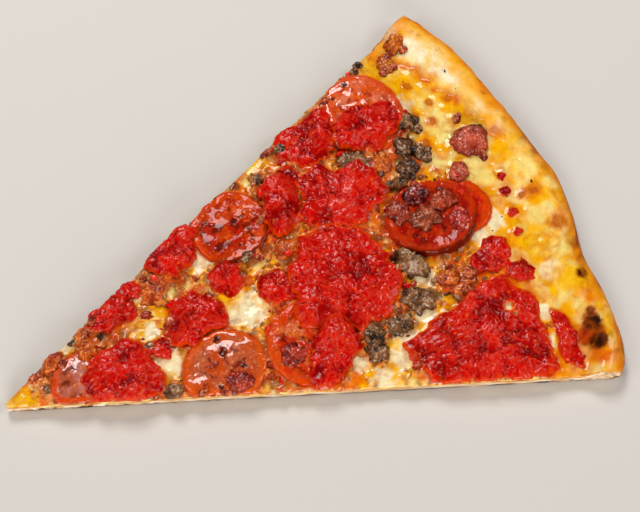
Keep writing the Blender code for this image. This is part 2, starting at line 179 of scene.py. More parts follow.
def skin(name: str, panels: list[Panel], gaps: list[Panel] = ()) -> bpy.types.Object:
    """Joins panels into one closed mesh whose faces point outwards.

    Args:
        name: the piece's name.
        panels: grids whose borders meet point on point.
        gaps: polygons of one row each, which close what the grids leave open.

    Returns:
        The new object, at the origin, with its colours in the attribute "tint".
    """
    every = [*panels, *gaps]
    starts = np.concatenate([[0], np.cumsum([p.points.size // 3 for p in every])])
    points = np.concatenate([p.points.reshape(-1, 3) for p in every])
    tints = np.concatenate([p.tint.reshape(-1, 3) for p in every])
    loops = [p.corners(s) for p, s in zip(panels, starts)]
    for p, s in zip(gaps, starts[len(panels):]):
        loops.append(s + np.arange(p.points.size // 3)[None, :])
    sizes = np.concatenate([np.full(len(group), group.shape[1]) for group in loops])
    corners = np.concatenate([group.ravel() for group in loops])
    mesh = bpy.data.meshes.new(name)
    mesh.vertices.add(len(points))
    mesh.vertices.foreach_set("co", points.astype(np.float32).ravel())
    mesh.loops.add(len(corners))
    mesh.loops.foreach_set("vertex_index", corners.astype(np.int32))
    mesh.polygons.add(len(sizes))
    mesh.polygons.foreach_set("loop_start", (np.cumsum(sizes) - sizes).astype(np.int32))
    mesh.update(calc_edges=True)
    layer = mesh.attributes.new("tint", "FLOAT_COLOR", "POINT")
    colours = np.hstack([np.clip(tints, 0.0, 1.0), np.ones((len(tints), 1))])
    layer.data.foreach_set("color", colours.astype(np.float32).ravel())
    welded = bmesh.new()
    welded.from_mesh(mesh)
    bmesh.ops.remove_doubles(welded, verts=welded.verts, dist=1e-6)
    bmesh.ops.dissolve_degenerate(welded, edges=welded.edges, dist=1e-7)
    bmesh.ops.recalc_face_normals(welded, faces=welded.faces)
    welded.to_mesh(mesh)
    welded.free()
    mesh.shade_smooth()
    many = np.array([polygon.loop_total > 4 for polygon in mesh.polygons])
    mesh.polygons.foreach_set("use_smooth", ~many)
    made = bpy.data.objects.new(name, mesh)
    bpy.context.scene.collection.objects.link(made)
    return made


# ---------------------------------------------------------------- finishes
@dataclass(frozen=True)
class Finish:
    """A food surface: the piece's own tint, broken up by fine mottling, wet or dry.

    Sizes are in metres. mottle and speck are (size, darkest share); bumps are (size, depth).
    """

    name: str
    roughness: tuple[float, float]
    coat: float = 0.0
    coat_roughness: float = 0.1
    specular: float = 0.5
    flesh: float = 0.0
    flesh_depth: tuple[float, float, float] = (0.002, 0.0008, 0.0004)
    mottle: tuple[float, float] = (0.004, 0.85)
    speck: tuple[float, float] = (0.0008, 0.85)
    bumps: tuple = ((0.0012, 0.0001), (0.0004, 0.00004))

    def material(self) -> bpy.types.Material:
        """The node material, made once for each finish."""
        if self.name in bpy.data.materials:
            return bpy.data.materials[self.name]
        made = bpy.data.materials.new(self.name)
        made.use_nodes = True
        tree = made.node_tree
        shader = tree.nodes["Principled BSDF"]
        place = tree.nodes.new("ShaderNodeTexCoord")
        tint = tree.nodes.new("ShaderNodeAttribute")
        tint.attribute_name = "tint"
        colour = tint.outputs["Color"]
        for size, dark in (self.mottle, self.speck):
            veil = self.noise(tree, place, size, 3.0)
            shades = tree.nodes.new("ShaderNodeMapRange")
            shades.inputs["From Min"].default_value = 0.35
            shades.inputs["From Max"].default_value = 0.65
            shades.inputs["To Min"].default_value = dark
            shades.inputs["To Max"].default_value = 1.0
            tree.links.new(veil, shades.inputs["Value"])
            mix = tree.nodes.new("ShaderNodeMix")
            mix.data_type, mix.blend_type = "RGBA", "MULTIPLY"
            mix.inputs["Factor"].default_value = 1.0
            tree.links.new(colour, mix.inputs["A"])
            tree.links.new(shades.outputs["Result"], mix.inputs["B"])
            colour = mix.outputs["Result"]
        tree.links.new(colour, shader.inputs["Base Color"])
        wet = tree.nodes.new("ShaderNodeMapRange")
        wet.inputs["From Min"].default_value = 0.35
        wet.inputs["From Max"].default_value = 0.65
        wet.inputs["To Min"].default_value, wet.inputs["To Max"].default_value = self.roughness
        tree.links.new(self.noise(tree, place, 0.005, 2.0), wet.inputs["Value"])
        tree.links.new(wet.outputs["Result"], shader.inputs["Roughness"])
        normal = None
        for size, depth in self.bumps:
            ripple = tree.nodes.new("ShaderNodeBump")
            ripple.inputs["Distance"].default_value = depth
            tree.links.new(self.noise(tree, place, size, 2.0), ripple.inputs["Height"])
            if normal is not None:
                tree.links.new(normal, ripple.inputs["Normal"])
            normal = ripple.outputs["Normal"]
        tree.links.new(normal, shader.inputs["Normal"])
        shader.inputs["Coat Weight"].default_value = self.coat
        shader.inputs["Coat Roughness"].default_value = self.coat_roughness
        shader.inputs["Specular IOR Level"].default_value = self.specular
        shader.inputs["Subsurface Weight"].default_value = self.flesh
        shader.inputs["Subsurface Radius"].default_value = self.flesh_depth
        shader.inputs["Subsurface Scale"].default_value = 1.0
        return made

    @staticmethod
    def noise(tree, place, size: float, detail: float):
        """A noise of one size on the object's own coordinates."""
        node = tree.nodes.new("ShaderNodeTexNoise")
        node.inputs["Scale"].default_value = 1.0 / size
        node.inputs["Detail"].default_value = detail
        tree.links.new(place.outputs["Object"], node.inputs["Vector"])
        return node.outputs["Fac"]


BAKED = Finish("baked_dough", (0.4, 0.6), specular=0.04, coat=0.06, flesh=0.03, mottle=(0.006, 0.92),
               speck=(0.0012, 0.88), bumps=((0.003, 0.00015), (0.0008, 0.00006)))
MELTED = Finish("melted_cheese", (0.22, 0.4), specular=0.03, coat=0.5, coat_roughness=0.07, flesh=0.05,
                flesh_depth=(0.002, 0.001, 0.0004), mottle=(0.005, 0.9), speck=(0.0011, 0.88),
                bumps=((0.0018, 0.00012), (0.0006, 0.00005)))
TOMATO = Finish("crushed_tomato", (0.28, 0.4), specular=0.02, coat=0.32, coat_roughness=0.15, flesh=0.03,
                mottle=(0.004, 0.84), speck=(0.0009, 0.84), bumps=((0.0014, 0.00014), (0.0006, 0.00005)))
CURED = Finish("cured_sausage", (0.3, 0.45), specular=0.03, coat=0.3, coat_roughness=0.08, flesh=0.03,
               mottle=(0.003, 0.82), speck=(0.0009, 0.76), bumps=((0.0012, 0.00005), (0.0005, 0.00003)))
GLAZED = Finish("glazed_sausage", (0.3, 0.45), specular=0.03, coat=0.8, coat_roughness=0.1, flesh=0.03,
                mottle=(0.003, 0.86), speck=(0.0009, 0.8), bumps=((0.0012, 0.00004), (0.0005, 0.00002)))
BROWNED = Finish("browned_beef", (0.3, 0.5), specular=0.06, coat=0.4, coat_roughness=0.1,
                 mottle=(0.003, 0.78), speck=(0.0008, 0.72), bumps=((0.0011, 0.00015), (0.0005, 0.00006)))
ROASTED = Finish("roasted_sausage", (0.3, 0.5), specular=0.05, coat=0.35, coat_roughness=0.12,
                 mottle=(0.002, 0.82), speck=(0.0008, 0.76), bumps=((0.001, 0.00016), (0.0005, 0.00007)))


# ---------------------------------------------------------------- the pie's own shape
@dataclass
class Pie:
    """The round pie that the slice was cut from."""

    tip_x: float = -116.5 * MM
    radius: float = 230.8 * MM
    half_angle: float = math.radians(22.6)
    tip_round: float = 2.0 * MM
    dough: float = 3.7 * MM
    cheese: float = 2.0 * MM
    crest: float = 9.0 * MM
    crest_in: float = 7.0 * MM
    belly: float = 4.2 * MM
    foot_in: float = 3.0 * MM

    def edge(self, angle: np.ndarray) -> np.ndarray:
        """The outer edge: nearly round, with a knuckle, a hollow and a worn corner."""
        return (
            self.radius
            + 2.0 * MM * bump(angle, 17.0, 5.0)
            + 1.5 * MM * bump(angle, -1.0, 2.5)
            - 3.5 * MM * bump(angle, -10.1, 3.6)
            + 1.0 * MM * bump(angle, -19.3, 2.0)
            - 2.5 * MM * bump(angle, -23.0, 1.0)
        )

    def width(self, angle: np.ndarray) -> np.ndarray:
        """From the outer edge in to where the rim has sunk to the bed."""
        return (21.5 + 4.5 * angle / self.half_angle) * MM

    def ridge(self, angle: np.ndarray) -> np.ndarray:
        """The height of the rim's crest."""
        return self.crest - 1.2 * MM * bump(angle, -10.0, 5.0) + 0.6 * MM * bump(angle, 12.0, 7.0)

    def cheese_end(self, angle: np.ndarray) -> np.ndarray:
        """How far the cheese runs, well short of the edge at the left corner, and unevenly."""
        share = angle / self.half_angle
        run = self.edge(angle) * angle
        wilder = eased(-0.2, 0.5, share)
        uneven = (1.2 + 2.2 * wilder) * MM * grain(run, 0 * run, 13 * MM, 5)
        uneven = uneven + (0.5 + 1.0 * wilder) * MM * grain(run, 0 * run, 4.5 * MM, 6)
        return self.edge(angle) - (4.2 + 4.2 * np.maximum(1.0 + share, 0.0) ** 2.2) * MM + uneven

    def polar(self, x: np.ndarray, y: np.ndarray) -> tuple:
        """Angle and distance from where the two cuts meet."""
        return np.arctan2(y, x - self.tip_x), np.hypot(x - self.tip_x, y)

    def dough_top(self, x: np.ndarray, y: np.ndarray) -> np.ndarray:
        """A flat bed that swells in a cosine curve up to the crest, gently uneven.

        Outside the crest it turns down to the belly in a quarter of an ellipse.
        """
        angle, far = self.polar(x, y)
        inward = self.edge(angle) - far
        climb = np.clip((self.width(angle) - inward) / (self.width(angle) - self.crest_in), 0.0, 1.0)
        uneven = 0.35 * MM * layered(x, y, 16 * MM, 11) * climb
        top = self.dough + (self.ridge(angle) - self.dough) * (1.0 - np.cos(math.pi * climb)) / 2 + uneven
        over = np.clip(1.0 - inward / self.crest_in, 0.0, 1.0)
        return np.where(over > 0.0, self.belly + (top - self.belly) * np.sqrt(1.0 - over**2), top)

    def to_cut(self, x: np.ndarray, y: np.ndarray) -> np.ndarray:
        """Distance in from the nearer cut, below zero beyond it."""
        along = (x - self.tip_x) * math.sin(self.half_angle)
        return along - np.abs(y) * math.cos(self.half_angle)


PIE = Pie()


# ---------------------------------------------------------------- what has been laid so far
class Bed:
    """Height of everything laid so far, on a square raster over the slice."""

    step: float = 0.5 * MM

    def __init__(self) -> None:
        """Starts empty, over the slice and a margin."""
        self.x = np.arange(-124 * MM, 124 * MM, self.step)
        self.y = np.arange(-98 * MM, 98 * MM, self.step)
        self.grid = np.meshgrid(self.x, self.y, indexing="ij")
        self.height = np.zeros(self.grid[0].shape)
        self.near: dict[str, np.ndarray] = {}

    def softened(self, values: np.ndarray, spread: float) -> np.ndarray:
        """A raster blurred by a bell curve of that spread, multiplied in its waves."""
        sigma = spread / self.step
        u, v = np.fft.fftfreq(len(self.x))[:, None], np.fft.rfftfreq(len(self.y))[None, :]
        bell = np.exp(-2.0 * (math.pi * sigma) ** 2 * (u**2 + v**2))
        return np.fft.irfft2(np.fft.rfft2(values) * bell, values.shape)

    def at(self, values: np.ndarray, x: np.ndarray, y: np.ndarray) -> np.ndarray:
        """Values of a raster at any points, straight between its cells."""
        i = np.clip((x - self.x[0]) / self.step, 0.0, len(self.x) - 1.001)
        j = np.clip((y - self.y[0]) / self.step, 0.0, len(self.y) - 1.001)
        i0, j0 = i.astype(int), j.astype(int)
        u, v = i - i0, j - j0
        low = values[i0, j0] * (1 - v) + values[i0, j0 + 1] * v
        high = values[i0 + 1, j0] * (1 - v) + values[i0 + 1, j0 + 1] * v
        return low * (1 - u) + high * u

    def window(self, centre: np.ndarray, reach: float) -> tuple[slice, slice]:
        """The cells within a square round a centre."""
        i = np.searchsorted(self.x, [centre[0] - reach, centre[0] + reach])
        j = np.searchsorted(self.y, [centre[1] - reach, centre[1] + reach])
        return slice(*i), slice(*j)


@dataclass
class Plan:
    """Outline of a piece from above, as a distance in 720 directions, and points of its top."""

    centre: np.ndarray
    reach: np.ndarray
    tops: np.ndarray

    @classmethod
    def of_node(cls, node: str) -> "Plan":
        """Reads the plan of a solid of the frame.

        Args:
            node: the solid's name.

        Returns:
            Its outline, the furthest crossing of each ray with an edge, and its top corners.
        """
        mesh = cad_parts[node].data
        mesh.calc_loop_triangles()
        points = np.empty(len(mesh.vertices) * 3, np.float32)
        mesh.vertices.foreach_get("co", points)
        corners = np.empty(len(mesh.loop_triangles) * 3, np.int32)
        mesh.loop_triangles.foreach_get("vertices", corners)
        sides = points.reshape(-1, 3).astype(float)[corners.reshape(-1, 3)]
        across = np.cross(sides[:, 1] - sides[:, 0], sides[:, 2] - sides[:, 0])
        sides = sides[across[:, 2] > 0.3 * np.linalg.norm(across, axis=1)]
        area = np.cross(sides[:, 1] - sides[:, 0], sides[:, 2] - sides[:, 0])[:, 2]
        centre = (sides.mean(1)[:, :2] * area[:, None]).sum(0) / area.sum()
        start = sides[:, :, :2].reshape(-1, 2) - centre
        edge = np.roll(sides, -1, axis=1)[:, :, :2].reshape(-1, 2) - centre - start
        ray = np.column_stack([np.cos(TURNS), np.sin(TURNS)])
        slant = ray[:, :1] * edge[:, 1] - ray[:, 1:] * edge[:, 0]
        slant = np.where(np.abs(slant) < 1e-12, 1e-12, slant)
        out = (start[:, 0] * edge[:, 1] - start[:, 1] * edge[:, 0]) / slant
        along = (start[:, 0] * ray[:, 1:] - start[:, 1] * ray[:, :1]) / slant
        hit = (along > -1e-6) & (along < 1.000001)
        return cls(centre, np.where(hit, out, 0.0).max(1), sides.reshape(-1, 3))

    @classmethod
    def of_oval(cls, x: float, y: float, long: float, short: float, turn_deg: float = 0.0) -> "Plan":
        """A small oval in millimetres, for a piece that the frame leaves to the looks."""
        own = TURNS - math.radians(turn_deg)
        reach = MM / np.hypot(np.cos(own) / long, np.sin(own) / short)
        return cls(np.array([x, y]) * MM, reach, np.empty((0, 3)))

    def roughened(self, depth: float, size: float, smooth: float, seed: int, limit: float = 0.26) -> "Plan":
        """The same plan with its outline rounded over a length and made uneven.

        Args:
            depth, size: how deep and how long the unevenness is.
            smooth: the length that the outline is first rounded over.
            seed: which unevenness.
            limit: the deepest it may be, as a share of the piece's own radius.
        """
        waves = np.fft.rfftfreq(720) * 2.0 * math.pi * 720 / (2.0 * math.pi * self.reach.mean())
        soft = np.fft.irfft(np.fft.rfft(self.reach) * np.exp(-0.5 * (waves * smooth) ** 2), 720)
        depth = min(depth, limit * self.reach.mean())
        x, y = soft * np.cos(TURNS) + seed, soft * np.sin(TURNS)
        uneven = depth * layered(x, y, size, seed)
        return Plan(self.centre, np.maximum(soft + uneven - 0.3 * depth, 0.3 * MM), self.tops)

    def out_to(self, turn: np.ndarray) -> np.ndarray:
        """The outline's distance in any direction."""
        return np.interp(turn, TURNS, self.reach, period=2.0 * math.pi)

    def share(self, x: np.ndarray, y: np.ndarray) -> np.ndarray:
        """How far a point lies from the centre, as a share of the outline's distance."""
        dx, dy = x - self.centre[0], y - self.centre[1]
        return np.hypot(dx, dy) / self.out_to(np.arctan2(dy, dx))

    def top(self, x: np.ndarray, y: np.ndarray, spread: float) -> np.ndarray:
        """Height of the solid's top, a mean of its corners weighted by exp(-d^2 / 2 s^2)."""
        apart = (x.ravel()[:, None] - self.tops[:, 0]) ** 2 + (y.ravel()[:, None] - self.tops[:, 1]) ** 2
        near = apart.min(1, keepdims=True)
        weight = np.exp(-(apart - near) / (2.0 * spread**2))
        return ((weight @ self.tops[:, 2]) / weight.sum(1)).reshape(x.shape)


# ---------------------------------------------------------------- the melt's own pattern
class Shade(Enum):
    """What a named spot of the melt looks like."""

    CREAM = (255, 245, 200)
    PALE = (255, 232, 132)
    YELLOW = (255, 192, 0)
    ORANGE = (240, 112, 0)
    RUSTY = (210, 44, 0)
    BLISTER = (196, 104, 24)
    BROWN = (150, 46, 4)
    CHAR = (14, 3, 1)


@dataclass(frozen=True)
class Spot:
    """A named spot of the melt, in millimetres."""

    x: float
    y: float
    radius: float
    shade: Shade
    strength: float = 0.9


@dataclass
class Melt:
    """Where the melt is pale, fatty or browned, and what is sunk in it."""

    spots: tuple = (
        Spot(-110, 0, 5, Shade.YELLOW), Spot(-100, 3, 3, Shade.ORANGE, 0.5), Spot(-86, 12, 3.5, Shade.CREAM),
        Spot(-54, -12, 5.5, Shade.CREAM), Spot(-57, -17, 3, Shade.YELLOW, 0.7), Spot(-53, 18, 4, Shade.CREAM),
        Spot(-50, 10, 4, Shade.YELLOW, 0.8), Spot(-55, 4, 3.5, Shade.CREAM), Spot(-28, 22, 4.5, Shade.CREAM),
        Spot(-20, -4, 8, Shade.CREAM), Spot(-24, 3, 5, Shade.YELLOW, 0.8), Spot(10, 52, 5, Shade.YELLOW),
        Spot(9, -43, 3.5, Shade.CREAM), Spot(15, -51, 4.5, Shade.CREAM), Spot(30, -42, 5.5, Shade.CREAM),
        Spot(24, -47, 4.5, Shade.CREAM), Spot(36, -48, 4, Shade.YELLOW, 0.8), Spot(41, -36, 5, Shade.CREAM),
        Spot(47, -21, 5, Shade.CREAM), Spot(58, -19, 4, Shade.ORANGE, 0.7), Spot(76, -15, 5, Shade.CREAM),
        Spot(83, -12, 4, Shade.CREAM), Spot(81, -54, 3, Shade.CREAM), Spot(76, -66, 3.5, Shade.CREAM),
        Spot(69.5, -47, 1.6, Shade.CREAM), Spot(92, -40, 4.5, Shade.CREAM, 0.75), Spot(94, -27, 7, Shade.YELLOW),
        # the pale spots at (100, -34) and (99, -18) are partly pale melt and partly a painted highlight
        Spot(97, -47, 7, Shade.YELLOW), Spot(100, -34, 4, Shade.PALE, 0.8), Spot(99, -56, 4, Shade.ORANGE, 0.7),
        Spot(106, 5, 6, Shade.PALE, 0.9), Spot(103, 14, 5, Shade.YELLOW, 0.8), Spot(99, -18, 3.5, Shade.PALE),
        Spot(88, 8, 5, Shade.PALE, 0.9), Spot(72, 72, 6, Shade.YELLOW), Spot(66, 66, 4, Shade.ORANGE, 0.6),
        Spot(80, 61, 7, Shade.YELLOW), Spot(75, 50, 4.5, Shade.CREAM), Spot(90, 50, 6, Shade.YELLOW),
        Spot(97, 35, 6, Shade.YELLOW), Spot(84, 34, 5, Shade.PALE, 0.8), Spot(40, 5, 3, Shade.ORANGE),
        Spot(-19, -38, 3, Shade.ORANGE), Spot(5, -47, 3, Shade.ORANGE), Spot(93, -80, 4.5, Shade.ORANGE, 0.8),
        Spot(90, -77, 4, Shade.RUSTY, 0.6), Spot(101, -72, 5, Shade.YELLOW, 0.7),
        Spot(101.4, -47, 1.7, Shade.CHAR, 1.0), Spot(86, 47, 1.6, Shade.BLISTER, 0.7), Spot(81, 58, 1.8, Shade.BLISTER, 0.6),
        Spot(68, 62, 1.6, Shade.BLISTER, 0.6), Spot(77, 43, 1.4, Shade.BLISTER, 0.6), Spot(93, 45, 1.8, Shade.BLISTER, 0.7), Spot(103, 22, 2.5, Shade.BLISTER, 0.7),
        Spot(98.3, -6.5, 1.8, Shade.BLISTER), Spot(102.6, -8.5, 2.2, Shade.BLISTER),
        Spot(105, -24, 3, Shade.BLISTER), Spot(82, 38, 2, Shade.BLISTER, 0.7), Spot(75, 30, 2, Shade.BLISTER, 0.7),
        Spot(92, -69.5, 4.8, Shade.BROWN, 0.9), Spot(94.6, -65.5, 3.4, Shade.BROWN, 0.8), Spot(92, -70, 3.5, Shade.CHAR, 0.99),
        Spot(92.8, -73.3, 2.8, Shade.CHAR, 0.95), Spot(94.5, -66.2, 2.6, Shade.CHAR, 0.95), Spot(96, -62, 1.5, Shade.CHAR, 0.7),
        Spot(89.4, -69.5, 2.4, Shade.RUSTY, 0.6),
    )
    cream: np.ndarray = field(default_factory=lambda: tone(255, 232, 140))
    yellow: np.ndarray = field(default_factory=lambda: tone(255, 186, 4))
    orange: np.ndarray = field(default_factory=lambda: tone(238, 104, 0))
    rusty: np.ndarray = field(default_factory=lambda: tone(206, 34, 0))
    brown: np.ndarray = field(default_factory=lambda: tone(166, 70, 6))
    sunken: np.ndarray = field(default_factory=lambda: np.array([
        tone(206, 92, 24), tone(170, 72, 26), tone(226, 132, 66), tone(132, 60, 26), tone(196, 66, 22),
        tone(158, 98, 54), tone(92, 44, 18),
    ]))

    def calm(self, x: np.ndarray, y: np.ndarray) -> np.ndarray:
        """1 inside the pale windows, where nothing is sunk in the melt, and 0 away from them."""
        found = np.zeros(np.shape(x))
        for spot in self.spots:
            if spot.shade in (Shade.CREAM, Shade.YELLOW):
                apart = np.hypot(x - spot.x * MM, y - spot.y * MM) / (spot.radius * MM)
                found = np.maximum(found, eased(1.5, 0.7, apart + 0.3 * grain(x, y, 3 * MM, 95)))
        return found

    def blisters(self, x: np.ndarray, y: np.ndarray) -> np.ndarray:
        """Domes of height 1 over the brown blisters, sqrt(1 - d^2)."""
        found = np.zeros(np.shape(x))
        for spot in self.spots:
            if spot.shade is Shade.BLISTER:
                apart = np.hypot(x - spot.x * MM, y - spot.y * MM) / (1.25 * spot.radius * MM)
                found = np.maximum(found, np.sqrt(np.clip(1.0 - apart**2, 0.0, 1.0)))
        return found

    def bits(self, x: np.ndarray, y: np.ndarray, bed: Bed) -> tuple:
        """Bits of meat sunk in the melt, in two sizes, thick near the meats and the sauce.

        Returns:
            How high they stand as a share of 1 mm, how far they cover the melt, and their tint, with painted shading
            that is lighter on top of each dome.
        """
        meat, tight = bed.at(bed.near["meat"], x, y), bed.at(bed.near["red"], x, y)
        among = eased(80 * MM, 62 * MM, x) * eased(-113 * MM, -100 * MM, x)
        dense = among * (1.0 - 0.95 * self.calm(x, y)) * np.clip(0.34 + 1.8 * meat + 0.5 * tight, 0.0, 0.92)
        wx = x + 1.3 * MM * layered(x, y, 3.4 * MM, 301)
        wy = y + 1.3 * MM * layered(x, y, 3.4 * MM, 302)
        rise, cover, tint = 0.0, 0.0, np.zeros((*np.shape(x), 3))
        for size, seed, tall in ((4.2 * MM, 303, 1.1), (2.1 * MM, 304, 0.6)):
            near, _, own = cells(wx, wy, size, seed)
            here = eased(0.0, 0.1, dense - own)
            body = here * eased(0.6, 0.42, near)
            dome = here * np.sqrt(np.clip(1.0 - (near / 0.6) ** 2, 0.0, 1.0))
            kind = np.floor(((own * 91.7) % 1.0) * len(self.sunken)).astype(int)
            # painted shading: each bit lighter on its dome and darker toward its edge, over a random tone
            shade = 0.45 + 0.7 * dome + 0.5 * layered(x, y, 1.3 * MM, 305, 2)
            own_tint = self.sunken[kind] * np.clip(shade, 0.2, 1.2)[..., None]
            tint = np.where((body > cover)[..., None], own_tint, tint)
            rise, cover = np.maximum(rise, tall * dome), np.maximum(cover, body)
        return rise, cover, tint

    def tint(self, x: np.ndarray, y: np.ndarray, bed: Bed) -> np.ndarray:
        """Pale windows in yellow melt, orange where fat ran from meats and sauce."""
        right = eased(60 * MM, 90 * MM, x)
        tint = mixed(self.yellow, self.cream, eased(-0.3, 0.4, layered(x, y, 9 * MM, 91)))
        stain = eased(-0.2, 0.4, layered(x + 1, y, 6.5 * MM, 92)) * (1.0 - 0.5 * right)
        amber = self.orange + (self.yellow - self.orange) * (0.55 * right)[..., None]
        tint = mixed(tint, amber, 0.95 * stain)
        fat = bed.at(bed.near["red"], x, y)
        meat = bed.at(bed.near["meat"], x, y)
        tight = bed.at(bed.near["edge"], x, y)
        tint = mixed(tint, self.orange, 1.7 * fat * (0.85 + 0.8 * layered(x, y, 4 * MM, 93)))
        for spot in self.spots:
            apart = np.hypot(x - spot.x * MM, y - spot.y * MM) / (spot.radius * MM)
            ragged = apart + 0.5 * layered(x, y, 3.6 * MM, 95)
            soft = spot.shade in (Shade.PALE, Shade.YELLOW, Shade.ORANGE, Shade.RUSTY)
            edge = eased(1.6, 0.25, ragged) if soft else eased(1.25, 0.6, ragged)
            if spot.shade is Shade.CREAM:
                tint = mixed(tint, self.yellow, 0.75 * eased(1.9, 1.1, ragged))
            if spot.shade is Shade.BLISTER:
                tint = mixed(tint, self.orange, 0.5 * eased(1.9, 1.1, ragged))
            if spot.shade is Shade.CHAR:
                ragged = apart + 0.28 * layered(x, y, 1.3 * MM, 95)
                edge = eased(1.4, 0.8, ragged)
                tint = mixed(tint, self.brown, 0.85 * eased(1.9, 1.0, ragged))
            tint = mixed(tint, tone(*spot.shade.value), spot.strength * edge)
            if spot.shade is Shade.BLISTER:
                tint = mixed(tint, self.brown, 0.6 * np.exp(-(((ragged - 0.7) / 0.2) ** 2)))
        thread = creased(x, y, 5.5 * MM, 99) * (0.5 + 0.5 * layered(x, y, 9 * MM, 100))
        tint = mixed(tint, mixed(self.orange, self.brown, 0.4 + 0 * x), 0.55 * thread)
        juice = meat * (0.7 + 0.9 * layered(x, y, 2.4 * MM, 98)) + 0.3 * eased(0.1, 0.6, layered(x, y, 5 * MM, 97)) * (1 - right)
        tint = mixed(tint, self.brown, 1.2 * juice)
        tint = mixed(tint, self.rusty, eased(0.1, 0.5, tight) * (0.9 + 0.5 * grain(x, y, 3 * MM, 94)))
        angle, far = PIE.polar(x, y)
        back = PIE.cheese_end(angle) - far
        end = eased(0.1, 0.5, angle / PIE.half_angle) * np.exp(-(((back - 1.5 * MM) / (2.2 * MM)) ** 2))
        tint = mixed(tint, tone(226, 112, 20), end * (0.65 + 0.9 * layered(x, y, 5 * MM, 102)))
        near, _, own = cells(x, y, 6.5 * MM, 81)
        ring = np.exp(-(((near - 0.36) / 0.12) ** 2)) * (own > 0.72)
        return mixed(tint, tone(204, 96, 16), 0.6 * ring * (0.7 + 0.6 * grain(x, y, 2 * MM, 96)))


MELT = Melt()


